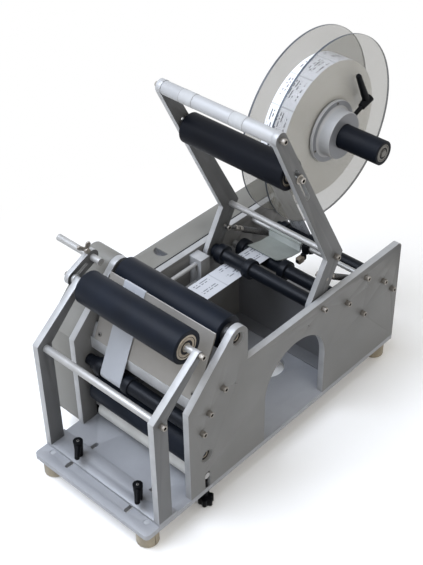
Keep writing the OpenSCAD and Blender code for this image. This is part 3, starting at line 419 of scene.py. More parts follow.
# Coated label paper with generic rows of bars, as it lies on the roll.
LABEL = PrintedLabel("printed_label_paper", "#e9ebef", 0.5, 0.0, 1.2, 0.08, row_mm=4.8, word_mm=3.2, ink=0.95,
                     blank_rows=0.5)
# The same paper on the tight web, darkened as painted shade.
SHADED_WEB_LABEL = PrintedLabel("printed_label_on_liner", "#babcc0", 0.5, 0.0, 1.2, 0.08, specular=0.3)
# Cut sides of the wound web.
WOUND = WoundPaper("wound_paper_side", "#fbfaf7", 0.7, 0.0, 0.9, 0.12)


def object_from(name: str, mesh: Mesh, finishes: Sequence[Finish]) -> Object:
    """Link a mesh as an object at the origin with its finishes.

    Args:
        name: Name of the object.
        mesh: Its mesh, already in the row frame.
        finishes: One finish per material slot.

    Returns:
        The new object.
    """
    piece = bpy.data.objects.new(name, mesh)
    bpy.context.scene.collection.objects.link(piece)
    for finish in finishes:
        mesh.materials.append(finish.material())
    return piece


def smooth(mesh: Mesh, degrees: float) -> None:
    """Shade a mesh smooth, with edges sharp past an angle.

    Args:
        mesh: The mesh.
        degrees: The angle.
    """
    mesh.polygons.foreach_set("use_smooth", [True] * len(mesh.polygons))
    mesh.set_sharp_from_angle(angle=math.radians(degrees))
    mesh.update()


def shaped(name: str, work: Work, finishes: Sequence[Finish], degrees: float = 0.0) -> Object:
    """Turn a work mesh into a piece.

    Args:
        name: Name of the piece.
        work: Its shape, which is used up.
        finishes: One finish per material slot.
        degrees: Angle up to which it is shaded smooth, or 0 for flat faces.

    Returns:
        The piece, which rides on nothing yet.
    """
    mesh = bpy.data.meshes.new(name)
    work.to_mesh(mesh)
    work.free()
    if degrees:
        smooth(mesh, degrees)
    return object_from(name, mesh, finishes)


def applied(piece: Object) -> Object:
    """Bake a piece's modifiers into its mesh.

    Args:
        piece: Object with modifiers.

    Returns:
        The same object, with a plain mesh.
    """
    graph = bpy.context.evaluated_depsgraph_get()
    mesh = bpy.data.meshes.new_from_object(piece.evaluated_get(graph))
    old = piece.data
    piece.modifiers.clear()
    piece.data = mesh
    bpy.data.meshes.remove(old)
    return piece


def hang(piece: Object, body: str, node: str = "") -> None:
    """Hang a piece on its body and report it.

    Args:
        piece: The piece.
        body: Body that it rides on.
        node: CAD node that it replaces, if any.
    """
    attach(piece, body)
    if node:
        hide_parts(node)
    LOG.info("%s rides on %s", piece.name, body)


def dress(finish: Finish, *nodes: str) -> None:
    """Give CAD nodes a finish and leave their shape.

    Args:
        finish: Their finish.
        nodes: Names of the nodes.
    """
    for name in nodes:
        mesh = frame["nodes"][name].data
        mesh.materials.clear()
        mesh.materials.append(finish.material())
        LOG.info("%s is dressed as %s", name, finish.name)


def merged(node: str) -> Work:
    """Copy a CAD node's mesh with its seams merged and its flat triangles joined.

    Args:
        node: Name of the node.

    Returns:
        The work mesh, in the row frame.
    """
    work = bmesh.new()
    work.from_mesh(frame["nodes"][node].data)
    bmesh.ops.remove_doubles(work, verts=work.verts, dist=1e-6)
    bmesh.ops.dissolve_limit(work, angle_limit=math.radians(FLAT), verts=work.verts, edges=work.edges)
    return work


def solids(node: str) -> list[Work]:
    """Copy each separate solid of a CAD node.

    Args:
        node: Name of the node.

    Returns:
        One work mesh for each solid.
    """
    whole = merged(node)
    whole.faces.index_update()
    owner: dict[int, int] = {}
    count = 0
    for seed in whole.faces:
        if seed.index in owner:
            continue
        owner[seed.index], front = count, [seed]
        while front:
            for edge in front.pop().edges:
                for face in edge.link_faces:
                    if face.index not in owner:
                        owner[face.index] = count
                        front.append(face)
        count += 1
    found = []
    for number in range(count):
        part = whole.copy()
        others = [face for i, face in enumerate(part.faces) if owner[i] != number]
        bmesh.ops.delete(part, geom=others, context="FACES")
        found.append(part)
    whole.free()
    return found


def deburred(name: str, work: Work, finish: Finish, width: float, segments: int = 2) -> Object:
    """Turn a work mesh into a piece with broken edges, flat where it is flat and smooth where it is round.

    Args:
        name: Name of the piece.
        work: Closed work mesh, which is used up.
        finish: Finish of the piece.
        width: Width of a broken edge in millimetres.
        segments: Steps across an edge.

    Returns:
        The piece, which rides on nothing yet.
    """
    for face in work.faces:
        bends = [math.degrees(edge.calc_face_angle(0.0)) for edge in face.edges]
        face.material_index = int(any(FLAT < bend < SHARP for bend in bends))
    piece = shaped(name, work, [finish, finish])
    bevel = piece.modifiers.new("edge", "BEVEL")
    bevel.width, bevel.segments, bevel.material = width / 1000, segments, 1
    bevel.limit_method, bevel.angle_limit = "ANGLE", math.radians(SHARP)
    mesh = applied(piece).data
    mesh.polygons.foreach_set("use_smooth", [poly.material_index == 1 for poly in mesh.polygons])
    mesh.set_sharp_from_angle(angle=math.radians(SHARP))
    mesh.polygons.foreach_set("material_index", [0] * len(mesh.polygons))
    mesh.materials.pop(index=1)
    mesh.update()
    return piece


def broken_edges(finish: Finish, *nodes: str, width: float, segments: int = 2,
                 milled_and_lit: Optional[Finish] = None) -> None:
    """Replace CAD nodes by copies whose sharp edges are broken, as a deburred part's are.

    Args:
        finish: Finish of the copies.
        nodes: Names of the nodes.
        width: Width of the broken edge in millimetres.
        segments: Steps across the edge.
        milled_and_lit: Finish of the faces that don't look along x, where it differs.
    """
    for node in nodes:
        piece = deburred(node + "_deburred", merged(node), finish, width, segments)
        # The faces across x are lighter: partly their milled finish, partly a painted highlight.
        if milled_and_lit:
            mesh = piece.data
            mesh.materials.append(milled_and_lit.material())
            mesh.polygons.foreach_set("material_index", [int(abs(p.normal.x) < 0.5) for p in mesh.polygons])
        hang(piece, frame["nodes"][node]["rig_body"], node)


def spread(count: int) -> list[float]:
    """Return angles that divide a full turn evenly."""
    return [FULL_TURN * k / count for k in range(count)]


def band(work: Work, near: Sequence[Vert], far: Sequence[Vert]) -> list[bmesh.types.BMFace]:
    """Join two rings of as many points by a band of faces, and return these in order."""
    return [work.faces.new(corners) for corners in zip(near, [*near[1:], near[0]], [*far[1:], far[0]], far)]


def chamfered(x0: float, x1: float, bore: float, radius: float, chamfer: float, face: int = 0,
              rest: int = 0) -> list[Ring]:
    """Return the profile of a ring with chamfered rims, with one slot for both faces and one for the rest."""
    low = radius - chamfer
    return [(x0, bore, face), (x0, low, rest), (x0 + chamfer, radius, rest), (x1 - chamfer, radius, rest),
            (x1, low, face), (x1, bore, rest)]


def lathe(name: str, profile: Sequence[Ring], axis: Point2, finishes: Sequence[Finish], steps: int) -> Object:
    """Turn a closed profile round an axis along x.

    Args:
        name: Name of the piece.
        profile: Points (x, radius, slot) in millimetres; slot is the finish of the face that starts there.
        axis: Place of the axis (y, z) in millimetres.
        finishes: Finish of each slot.
        steps: Faces round the axis.

    Returns:
        The turned piece.
    """
    work = bmesh.new()
    rings = [[work.verts.new(place(x, axis[0] + r * math.cos(a), axis[1] + r * math.sin(a)))
              for a in spread(steps)] for x, r, _ in profile]
    for (_, _, slot), near, far in zip(profile, rings, rings[1:] + rings[:1]):
        for face in band(work, near, far):
            face.material_index = slot
    bmesh.ops.recalc_face_normals(work, faces=work.faces)
    return shaped(name, work, finishes, degrees=32)


def rounded_block(work: Work, low: Point3, high: Point3, radius: float, slot: int = 0) -> None:
    """Add a block with rounded edges to a work mesh.

    Args:
        work: Mesh that gets the block.
        low: Lowest corner in machine millimetres.
        high: Highest corner in machine millimetres.
        radius: Radius of its edges in millimetres.
        slot: Material slot of its faces.
    """
    a, b = place(*low), place(*high)
    known = set(work.faces)
    made = bmesh.ops.create_cube(work, size=1.0)["verts"]
    for vert in made:
        vert.co = Vector(((a[i] + b[i]) / 2 + vert.co[i] * (b[i] - a[i]) for i in range(3)))
    edges = list({edge for vert in made for edge in vert.link_edges})
    bmesh.ops.bevel(work, geom=edges, offset=radius / 1000, segments=3, profile=0.5, affect="EDGES")
    for face in work.faces:
        if face not in known:
            face.material_index = slot


def named(tree: NodeTree, name: str, kind: str, way: str = "INPUT") -> str:
    """Give a node group a named socket, and return the socket's identifier."""
    return tree.interface.new_socket(name, in_out=way, socket_type=kind).identifier


@dataclass
class WireMaker:
    """Geometry nodes that draw a round wire along a path."""

    name: str = "wire_along_path"
    sides: int = 12
    keys: dict[str, str] = field(default_factory=dict)

    def tree(self) -> NodeTree:
        """Make the node group on first use.

        Returns:
            The group, with inputs for the path, the wire's radius and its finish.
        """
        known = bpy.data.node_groups.get(self.name)
        if known:
            return known
        tree = bpy.data.node_groups.new(self.name, "GeometryNodeTree")
        named(tree, "Path", "NodeSocketGeometry")
        self.keys["radius"] = named(tree, "Wire Radius", "NodeSocketFloat")
        self.keys["finish"] = named(tree, "Finish", "NodeSocketMaterial")
        named(tree, "Wire", "NodeSocketGeometry", "OUTPUT")
        start = add(tree, "NodeGroupInput").outputs
        curve = add(tree, "GeometryNodeMeshToCurve", inputs={"Mesh": start["Path"]})
        ring = add(tree, "GeometryNodeCurvePrimitiveCircle", inputs={
            "Resolution": self.sides, "Radius": start["Wire Radius"]})
        tube = add(tree, "GeometryNodeCurveToMesh", inputs={
            "Curve": curve.outputs["Curve"], "Profile Curve": ring.outputs["Curve"], "Fill Caps": True})
        real = add(tree, "GeometryNodeRealizeInstances", inputs={"Geometry": tube.outputs["Mesh"]})
        dressed = add(tree, "GeometryNodeSetMaterial", inputs={
            "Geometry": real.outputs["Geometry"], "Material": start["Finish"]})
        add(tree, "NodeGroupOutput", inputs={"Wire": dressed.outputs["Geometry"]})
        return tree

    def draw(self, name: str, points: Sequence[Vector], radius: float, finish: Finish) -> Object:
        """Draw a wire through points.

        Args:
            name: Name of the piece.
            points: Middle line, in the row frame.
            radius: Radius of the wire in millimetres.
            finish: Its finish.

        Returns:
            The wire as a plain mesh.
        """
        mesh = bpy.data.meshes.new(name)
        mesh.from_pydata(points, [(i, i + 1) for i in range(len(points) - 1)], [])
        piece = object_from(name, mesh, [finish])
        wire = piece.modifiers.new("wire", "NODES")
        wire.node_group = self.tree()
        wire[self.keys["radius"]] = radius / 1000
        wire[self.keys["finish"]] = finish.material()
        smooth(applied(piece).data, degrees=50)
        return piece


@dataclass(frozen=True)
class Lamp:
    """A square soft light: its place and width in metres, its power in watts and its colour."""

    name: str
    spot: Point3
    size: float
    power: float
    colour: str


@dataclass
class Studio:
    """Pale floor, soft lights and the camera of the photograph."""

    azimuth: float = 43.39
    elevation: float = 38.60
    roll: float = -1.05
    focal_px: float = 1154.8
    sensor: float = 36.0
    eye: Point3 = (1013.6, -770.9, 1438.4)
    aim: Point3 = (0.0, 0.0, 0.25)
    floor_half: float = 6.0
    fade: Point2 = (0.30, 0.75)
    glow: float = 0.10
    soft: float = 0.45
    rig: tuple[Lamp, ...] = (
        Lamp("sky", (-0.5, -1.1, 2.3), 1.8, 78.0, "#e8f0ff"),
        Lamp("front", (-1.0, -2.2, 1.6), 1.8, 4.0, "#fbfcff"),
        Lamp("side", (2.2, -0.5, 1.5), 1.6, 15.0, "#fff8ee"),
        Lamp("rear", (0.4, 2.2, 1.8), 1.8, 6.0, "#ffffff"))

    def build(self) -> None:
        """Make the world, the floor, the lamps and the camera."""
        self.world()
        self.floor()
        self.lamps()
        self.camera()

    def direct(self, tree: NodeTree) -> NodeSocket:
        """Tell rays that look at the background from rays of light.

        Args:
            tree: Tree that gets the nodes.

        Returns:
            A socket that is 1 for what is seen straight or in metal or glass, and 0 for light.
        """
        seen = add(tree, "ShaderNodeLightPath").outputs
        straight = add(tree, "ShaderNodeMath", {"operation": "MAXIMUM"}, {
            0: seen["Is Camera Ray"], 1: seen["Is Transmission Ray"]})
        return add(tree, "ShaderNodeMath", {"operation": "MAXIMUM"}, {
            0: straight.outputs[0], 1: seen["Is Glossy Ray"]}).outputs[0]

    def world(self) -> None:
        """Light the scene softly, and show white behind it."""
        world = bpy.data.worlds.new("studio")
        bpy.context.scene.world = world
        tree = bare_tree(world)
        soft = add(tree, "ShaderNodeBackground", inputs={"Color": linear("#f4f2ee"), "Strength": self.soft})
        white = add(tree, "ShaderNodeBackground", inputs={"Color": WHITE, "Strength": 1.0})
        mix = add(tree, "ShaderNodeMixShader", inputs={
            0: self.direct(tree), 1: soft.outputs[0], 2: white.outputs[0]})
        add(tree, "ShaderNodeOutputWorld", inputs={"Surface": mix.outputs[0]})
        bpy.context.scene.view_settings.view_transform = "Standard"

    def floor(self) -> None:
        """Lay a pale floor that fades to white and keeps the shadow."""
        work = bmesh.new()
        bmesh.ops.create_grid(work, x_segments=1, y_segments=1, size=self.floor_half)
        floor = shaped("floor", work, [])
        material = bpy.data.materials.new("pale_studio_floor")
        tree = bare_tree(material)
        paper = add(tree, "ShaderNodeBsdfDiffuse", inputs={"Color": linear("#f4f4f3")})
        glow = add(tree, "ShaderNodeEmission", inputs={"Color": WHITE, "Strength": self.glow})
        lit = add(tree, "ShaderNodeAddShader", inputs={0: paper.outputs[0], 1: glow.outputs[0]})
        white = add(tree, "ShaderNodeEmission", inputs={"Color": WHITE, "Strength": 1.0})
        where = add(tree, "ShaderNodeTexCoord").outputs["Object"]
        away = add(tree, "ShaderNodeVectorMath", {"operation": "LENGTH"}, {0: where})
        fade = add(tree, "ShaderNodeMapRange", {"interpolation_type": "SMOOTHSTEP"}, {
            "Value": away.outputs["Value"], "From Min": self.fade[0], "From Max": self.fade[1]})
        ground = add(tree, "ShaderNodeMixShader", inputs={
            0: fade.outputs["Result"], 1: lit.outputs[0], 2: white.outputs[0]})
        mix = add(tree, "ShaderNodeMixShader", inputs={
            0: self.direct(tree), 1: paper.outputs[0], 2: ground.outputs[0]})
        add(tree, "ShaderNodeOutputMaterial", inputs={"Surface": mix.outputs[0]})
        floor.data.materials.append(material)

    def lamps(self) -> None:
        """Hang a large key over the machine, weak fills in front and at the side, and a rim behind."""
        for lamp in self.rig:
            light = bpy.data.lights.new(lamp.name, "AREA")
            light.shape, light.size, light.energy = "SQUARE", lamp.size, lamp.power
            light.color = linear(lamp.colour)[:3]
            holder = bpy.data.objects.new(lamp.name, light)
            holder.location = lamp.spot
            way = Vector(self.aim) - Vector(lamp.spot)
            holder.rotation_euler = way.to_track_quat("-Z", "Y").to_euler()
            bpy.context.scene.collection.objects.link(holder)

    def camera(self) -> None:
        """Put the camera where the photograph was taken from."""
        a, e, r = (math.radians(v) for v in (self.azimuth, self.elevation, self.roll))
        back = Vector((math.sin(a) * math.cos(e), -math.cos(a) * math.cos(e), math.sin(e)))
        right = Vector((math.cos(a), math.sin(a), 0.0))
        turned = right * math.cos(r) + back.cross(right) * math.sin(r)
        data = bpy.data.cameras.new("photo_camera")
        data.sensor_fit, data.sensor_height = "VERTICAL", self.sensor
        data.lens = self.focal_px * self.sensor / IMAGE[1]
        data.clip_end = 50.0
        camera = bpy.data.objects.new("photo_camera", data)
        basis = Matrix((turned, back.cross(turned), back)).transposed()
        camera.matrix_world = Matrix.Translation(place(*self.eye)) @ basis.to_4x4()
        bpy.context.scene.collection.objects.link(camera)
        bpy.context.scene.camera = camera


@dataclass
class PlateWork:
    """Flat aluminium pieces: base, side plates, arms, bars and blocks, and the sheet-metal work."""

    edge: float = 0.5
    thin_edge: float = 0.4
    press_edge: float = 0.3
    flats: tuple[str, ...] = ("base_plate", "sliding_plate")
    sides: tuple[str, ...] = ("left_side_plate", "right_side_plate")
    arms: tuple[str, ...] = ("left_front_arm", "right_front_arm", "left_press_arm", "right_press_arm",
                             "reel_post", "stop_link")
    bars: tuple[str, ...] = ("cross_bar", "rail_blocks")
    sheets: tuple[str, ...] = ("control_box", "control_box_lid")
    scoop: Point3 = (-164.0, 350.0, 214.0)
    scoop_r: float = 15.2
    scoop_depth: float = 10.0
    scoop_wall: float = 0.8
    scoop_rings: int = 8
    scoop_spokes: int = 24
    seal_low: Point3 = (-138.4, 241.5, 212.5)
    seal_high: Point3 = (-135.1, 647.5, 216.3)
    seal_edge: float = 0.3

    def build(self) -> None:
        """Break the edges of every plate, bar and sheet, and finish the lid."""
        # Base and sliding plate are lighter and colder than the plates: painted sky light.
        broken_edges(BASE, *self.flats, width=self.edge)
        # Edges of side plates, arms and bars are lighter, partly as a painted highlight.
        broken_edges(PLATE, *self.sides, width=self.edge, milled_and_lit=MILLED_AND_LIT)
        broken_edges(ARM, *self.arms, width=self.edge, milled_and_lit=MILLED_AND_LIT)
        broken_edges(PLATE, *self.bars, width=self.edge, milled_and_lit=MILLED_AND_LIT)
        broken_edges(SHEET, *self.sheets, width=self.thin_edge)
        broken_edges(DARK_SHEET, "partition_wall", width=self.thin_edge)
        broken_edges(PRESS_SHEET, "press_plate", width=self.press_edge, segments=1)
        dress(PEEL, "peel_plate")
        self.finger_scoop()
        self.lid_seal()

    def finger_scoop(self) -> None:
        """Press a half bowl under the opening of the lid."""
        cx, cy, cz = self.scoop
        spokes = self.scoop_spokes
        turns = [math.pi * (1 + k / spokes) for k in range(spokes + 1)]
        work = bmesh.new()
        layers = []
        for i in range(1, self.scoop_rings + 1):
            share = i / self.scoop_rings
            r, depth = self.scoop_r * share, self.scoop_depth * (1 - share ** 3)
            layers.append([work.verts.new(place(cx + r * math.cos(a), cy + r * math.sin(a), cz - depth))
                           for a in turns])
        for low, high in zip(layers, layers[1:]):
            for k in range(spokes):
                work.faces.new((low[k], high[k], high[k + 1], low[k + 1]))
        work.faces.new(layers[0])
        rim = [ring[0] for ring in layers[::-1]] + [ring[-1] for ring in layers]
        top = [work.verts.new((vert.co.x, vert.co.y, place(0, 0, cz).z)) for vert in rim[1:-1]]
        back = [rim[0], *top, rim[-1]]
        for corners in zip(rim, rim[1:], back[1:], back):
            work.faces.new(list(dict.fromkeys(corners)))
        bmesh.ops.recalc_face_normals(work, faces=work.faces)
        # The scoop is darker than the lid, as painted shade in the hollow.
        piece = shaped("lid_finger_scoop", work, [DARK_SHEET])
        wall = piece.modifiers.new("wall", "SOLIDIFY")
        wall.thickness, wall.offset = self.scoop_wall / 1000, 0.0
        smooth(applied(piece).data, SHARP)
        hang(piece, "machine_frame")

    def lid_seal(self) -> None:
        """Lay the black seal between the lid and the left plate."""
        work = bmesh.new()
        rounded_block(work, self.seal_low, self.seal_high, self.seal_edge)
        hang(shaped("lid_seal", work, [SEAL_AND_SHADE], degrees=35), "machine_frame")


@dataclass
class TurnedWork:
    """Rods, shafts, rollers, guides and the reel's outer hub.

    The hub's places along x are spigot end, flange and boss end; its radii are bore, spigot, boss and flange.
    The edges of its spigot and bore are given along x and in radius.
    """

    rods: tuple[str, ...] = ("tie_rods", "elbow_rod", "pinch_axle", "stop_rod")
    dull: tuple[str, ...] = ("motor_pulley", "reel_axle")
    guides: tuple[str, ...] = ("front_guide_bar", "middle_guide_bar", "rear_guide_bar", "lower_guide_roller")
    rollers: tuple[str, ...] = ("drive_roller", "traction_roller", "front_roller")
    spacer_x: Point2 = (-122.8, -109.4)
    spacer_r: Point2 = (6.3, 10.0)
    spacer_edge: float = 0.4
    hub_x: tuple[float, ...] = (-46.0, -29.7, -23.7, 0.3)
    hub_r: tuple[float, ...] = (22.05, 37.68, 43.0, 57.0)
    hub_edge: float = 0.6
    spigot_edge: Point2 = (0.5, 0.48)
    boss_edge: float = 1.0
    bore_edge: Point2 = (0.9, 0.95)
    cove_r: float = 5.0
    press_r: float = 26.0
    press_half: float = 105.0
    arm_face: float = 121.0

    def build(self) -> None:
        """Dress the rods, break the edges of rollers, guides and handle, and turn the rest."""
        dress(ROD, *self.rods)
        dress(ZINC, *self.dull)
        dress(SPRING, "drive_shaft")
        broken_edges(SCREW, "stop_wing_screw", width=0.4)
        broken_edges(GUIDE, *self.guides, width=0.8)
        broken_edges(TUBE, "reel_tube", width=0.8)
        broken_edges(RUBBER, *self.rollers, width=1.2, segments=3)
        broken_edges(SLEEVE, "pinch_roller", width=1.0)
        broken_edges(HANDLE, "handle_bar", width=0.8)
        self.spacer()
        self.hub()
        self.press_roller()
        self.press_axle()

    def spacer(self) -> None:
        """Turn the spacer between the lower guide and the left plate."""
        profile = chamfered(*self.spacer_x, *self.spacer_r, self.spacer_edge)
        piece = lathe("lower_guide_spacer", profile, LOWER_GUIDE, [GUIDE], steps=48)
        hang(piece, "machine_frame")

    def hub(self) -> None:
        """Turn the outer hub: spigot, flange, cove and boss."""
        start, back, front, end = self.hub_x
        bore, spigot, boss, flange = self.hub_r
        e, c, b = self.hub_edge, self.cove_r, self.boss_edge
        (sx, sr), (bx, br) = self.spigot_edge, self.bore_edge
        cove = [(front + c - c * math.cos(a), boss + c - c * math.sin(a), 1)
                for a in (math.radians(15 * k) for k in range(7))]
        profile = [(start, bore, 0), (start, spigot - sr, 0), (start + sx, spigot, 0), (back, spigot, 0),
                   (back, flange - e, 0), (back + e, flange, 1), (front - e, flange, 1),
                   (front, flange - e, 0), *cove, (end - b, boss, 1), (end, boss - b, 0),
                   (end, bore + br, 0), (end - bx, bore, 0)]
        piece = lathe("outer_hub_turned", profile, REEL_AXIS, [TURNED, HANDLE], steps=128)
        hang(piece, "outer_disc", "outer_hub")

    def press_roller(self) -> None:
        """Turn the press roller, with a bearing sunk in each end."""
        r, h = self.press_r, self.press_half
        end = [(h - 1.2, r, 0), (h, r - 1.2, 0), (h, 19.4, 0), (h - 2.4, 19.0, 1), (h - 2.4, 15.6, 2),
               (h - 3.2, 15.2, 2), (h - 3.2, 11.4, 2), (h - 2.4, 11.0, 1), (h - 2.4, 6.2, 0)]
        slots = [0] + [slot for _, _, slot in end[:-1]]
        other = [(-x, radius, slot) for (x, radius, _), slot in zip(end, slots)]
        piece = lathe("press_roller_moulded", other[::-1] + end, PRESS_AXIS, [NEOPRENE, BEARING, SEAL_AND_SHADE],
                      steps=96)
        hang(piece, "press_roller", "press_roller")

    def press_axle(self) -> None:
        """Turn the axle of the press roller, with a washer outside each arm."""
        a = self.arm_face
        end = [(a - 10.3, 5.98, 0), (a - 10.3, 4.0, 0), (a + 0.3, 4.0, 1), (a + 0.3, 7.6, 1),
               (a + 0.5, 7.8, 1), (a + 1.7, 7.8, 1), (a + 1.9, 7.6, 1), (a + 1.9, 4.0, 0), (a + 3.0, 4.0, 0),
               (a + 3.0, 0.4, 0)]
        other = [(-x, radius, 0) for x, radius, _ in end]
        piece = lathe("press_axle_turned", other[::-1] + end, PRESS_AXIS, [ROD, NICKEL], steps=64)
        hang(piece, "press_roller_axle", "press_roller_axle")


@dataclass
class SmallParts:
    """Feet, grips, knobs, the label sensor, electrics and drive pieces.

    A block of the sensor is its lowest and highest corner, with y and z from the thin rod, its edge radius
    and its slot.
    """

    grips: tuple[str, ...] = ("left_clamp_lever", "right_clamp_lever", "left_star_knob", "right_star_knob",
                              "hub_lever", "power_inlet", "rocker_switch")
    rod: Point2 = (546.0, 198.0)
    blocks: tuple[tuple[Point3, Point3, float, int], ...] = (
        ((-1.0, -9.0, -10.0), (13.0, 9.0, 9.0), 2.5, 0),
        ((2.0, 4.0, -19.0), (10.0, 11.0, -4.0), 3.0, 0),
        ((1.5, -16.0, -22.0), (10.5, -5.0, -6.0), 3.5, 0),
        ((0.5, -27.0, -22.0), (11.5, -13.0, -10.0), 2.0, 1),
        ((3.0, -29.0, -19.0), (9.0, -26.0, -13.0), 1.4, 0))

    def build(self) -> None:
        """Dress the small parts."""
        broken_edges(FOOT, "rubber_feet", width=1.2, segments=3)
        broken_edges(GRIP, *self.grips, width=0.6)
        dress(MOTOR, "drive_motor")
        dress(BELT, "drive_belts")
        dress(BOARD, "circuit_board")
        self.sensor()

    def sensor(self) -> None:
        """Make the label sensor: a clamp on the thin rod, its arm, and a smoked head with a black end."""
        y, z = self.rod
        work = bmesh.new()
        for (x0, y0, z0), (x1, y1, z1), radius, slot in self.blocks:
            rounded_block(work, (x0, y + y0, z + z0), (x1, y + y1, z + z1), radius, slot)
        bmesh.ops.recalc_face_normals(work, faces=work.faces)
        piece = shaped("label_sensor_moulded", work, [GRIP, SMOKED], degrees=35)
        hang(piece, "machine_frame", "label_sensor")


@dataclass
class Reel:
    """Clear discs and the wound label roll."""

    web: Point2 = (-82.0, -34.0)
    disc_r: float = 173.0
    disc_t: float = 4.0
    disc_edge: float = 0.4
    roll_r: float = 126.0
    core_r: float = 38.0
    core_t: float = 3.0
    tube_r: float = 22.02
    step_r: float = 37.72
    clearance: float = 0.3

    def build(self) -> None:
        """Make both discs and the roll."""
        left, right = self.web[0] - self.clearance, self.web[1] + self.clearance
        self.disc("inner_disc", self.web[0] - self.disc_t, left, self.tube_r, "reel")
        self.disc("outer_disc", right, right + self.disc_t, self.step_r, "outer_disc")
        self.roll()

    def disc(self, node: str, x0: float, x1: float, bore: float, body: str) -> None:
        """Make one clear disc with a sawn edge, painted dark blue-grey as a reflection.

        Args:
            node: CAD node that it replaces.
            x0: Left face in millimetres.
            x1: Right face in millimetres.
            bore: Radius of its hole.
            body: Body that it rides on.
        """
        profile = chamfered(x0, x1, bore, self.disc_r, self.disc_edge, face=0, rest=1)
        piece = lathe(node + "_acrylic", profile, REEL_AXIS, [CLEAR, CLEAR_EDGE], steps=160)
        piece.visible_shadow = piece.visible_diffuse = False
        hang(piece, body, node)

    def roll(self) -> None:
        """Make the wound roll with its printed outside and board core."""
        x0, x1 = self.web
        r, inner, core = self.roll_r, self.core_r, self.core_r + self.core_t
        profile = [(x0, inner, 2), (x0, core, 1), (x0, r, 0), (x1, r, 1), (x1, core, 2), (x1, inner, 2)]
        piece = lathe("label_roll_wound", profile, REEL_AXIS, [LABEL, WOUND, CORE], steps=160)
        mesh = piece.data
        layer = mesh.uv_layers.new(name="UVMap")
        centre = place(0, *REEL_AXIS)
        for poly in mesh.polygons:
            middle = poly.center - centre
            turn = math.atan2(middle.z, middle.y)
            for loop in poly.loop_indices:
                point = mesh.vertices[mesh.loops[loop].vertex_index].co - centre
                angle = math.atan2(point.z, point.y)
                angle += FULL_TURN * round((turn - angle) / FULL_TURN)
                layer.data[loop].uv = (point.x * 1000 - x0, angle * r)
        hang(piece, "reel", "label_roll")


@dataclass(frozen=True)
class Wrap:
    """A round guide of the web: centre (y, z), the web's middle radius, and turn, 1 left or -1 right."""

    centre: Point2
    radius: float
    turn: int


@dataclass
class LabelWeb:
    """The label web along its threaded path: labels on the liner up to the peel edge, then the bare liner."""

    x: Point2 = (-81.5, -34.5)
    thick: float = 0.6
    peel: int = 5
    step: float = 4.0
    longest_sweep: float = 6.1
    wraps: tuple[Wrap, ...] = (
        Wrap(REEL_AXIS, 126.6, 1), Wrap((600.0, 159.0), 13.1, -1), Wrap((494.0, 173.5), 13.1, 1),
        Wrap((427.0, 202.0), 13.1, -1), Wrap((179.0, 197.5), 6.6, -1), Wrap((187.486, 289.697), 1.8, 1),
        Wrap(LOWER_GUIDE, 13.1, 1), Wrap((141.5, 73.3), 28.55, -1), Wrap((139.5, 38.75), 6.0, 1))

    def heading(self, a: Wrap, b: Wrap) -> float:
        """Return the direction, in radians, of the straight run from one wrap to the next."""
        dy, dz = b.centre[0] - a.centre[0], b.centre[1] - a.centre[1]
        return math.atan2(dz, dy) + math.asin((a.turn * a.radius - b.turn * b.radius) / math.hypot(dy, dz))

    def line(self) -> list[tuple[float, float, float, int]]:
        """Follow the middle of the web from the roll to the nip.

        Returns:
            Points (y, z, direction, wrap number); a sweep of nearly a full turn is a wrap that isn't touched.
        """
        found: list[tuple[float, float, float, int]] = []
        last = len(self.wraps) - 1
        for i, wrap in enumerate(self.wraps):
            into = self.heading(self.wraps[max(i, 1) - 1], self.wraps[max(i, 1)])
            out = self.heading(wrap, self.wraps[i + 1]) if i < last else into
            sweep = (out - into) % FULL_TURN if wrap.turn > 0 else -((into - out) % FULL_TURN)
            sweep = 0.0 if abs(sweep) > self.longest_sweep else sweep
            count = max(1, math.ceil(abs(sweep) / math.radians(self.step)))
            for k in range(count + 1):
                way = into + sweep * k / count
                spoke = way - wrap.turn * math.pi / 2
                found.append((wrap.centre[0] + wrap.radius * math.cos(spoke),
                              wrap.centre[1] + wrap.radius * math.sin(spoke), way, i))
        return found

    def build(self) -> None:
        """Make the web with its own UV in millimetres and hang it on the frame."""
        line, half = self.line(), self.thick / 2
        left, right = self.x
        work = bmesh.new()
        layer = work.loops.layers.uv.new("UVMap")
        rows, run = [], 0.0
        for i, (y, z, way, wrap) in enumerate(line):
            run += math.hypot(y - line[i - 1][0], z - line[i - 1][1]) if i else 0.0
            ny, nz = math.sin(way) * half, -math.cos(way) * half
            corners = ((left, 1), (right, 1), (right, -1), (left, -1))
            rows.append(([work.verts.new(place(x, y + s * ny, z + s * nz)) for x, s in corners], run, wrap))
        for (near, v0, wrap), (far, v1, _) in zip(rows, rows[1:]):
            for k, face in enumerate(band(work, near, far)):
                face.material_index = 0 if k == 0 and wrap < self.peel else 1
                for loop, v in zip(face.loops, (v0, v0, v1, v1)):
                    loop[layer].uv = ((loop.vert.co.x * 1000 + MID_X) - left, v)
        work.faces.new(rows[0][0]).material_index = 1
        work.faces.new(rows[-1][0][::-1]).material_index = 1
        bmesh.ops.recalc_face_normals(work, faces=work.faces)
        # The web's labels are the same paper, darkened as painted shade.
        piece = shaped("label_web_strip", work, [SHADED_WEB_LABEL, LINER], degrees=SHARP)
        hang(piece, "machine_frame", "label_web")


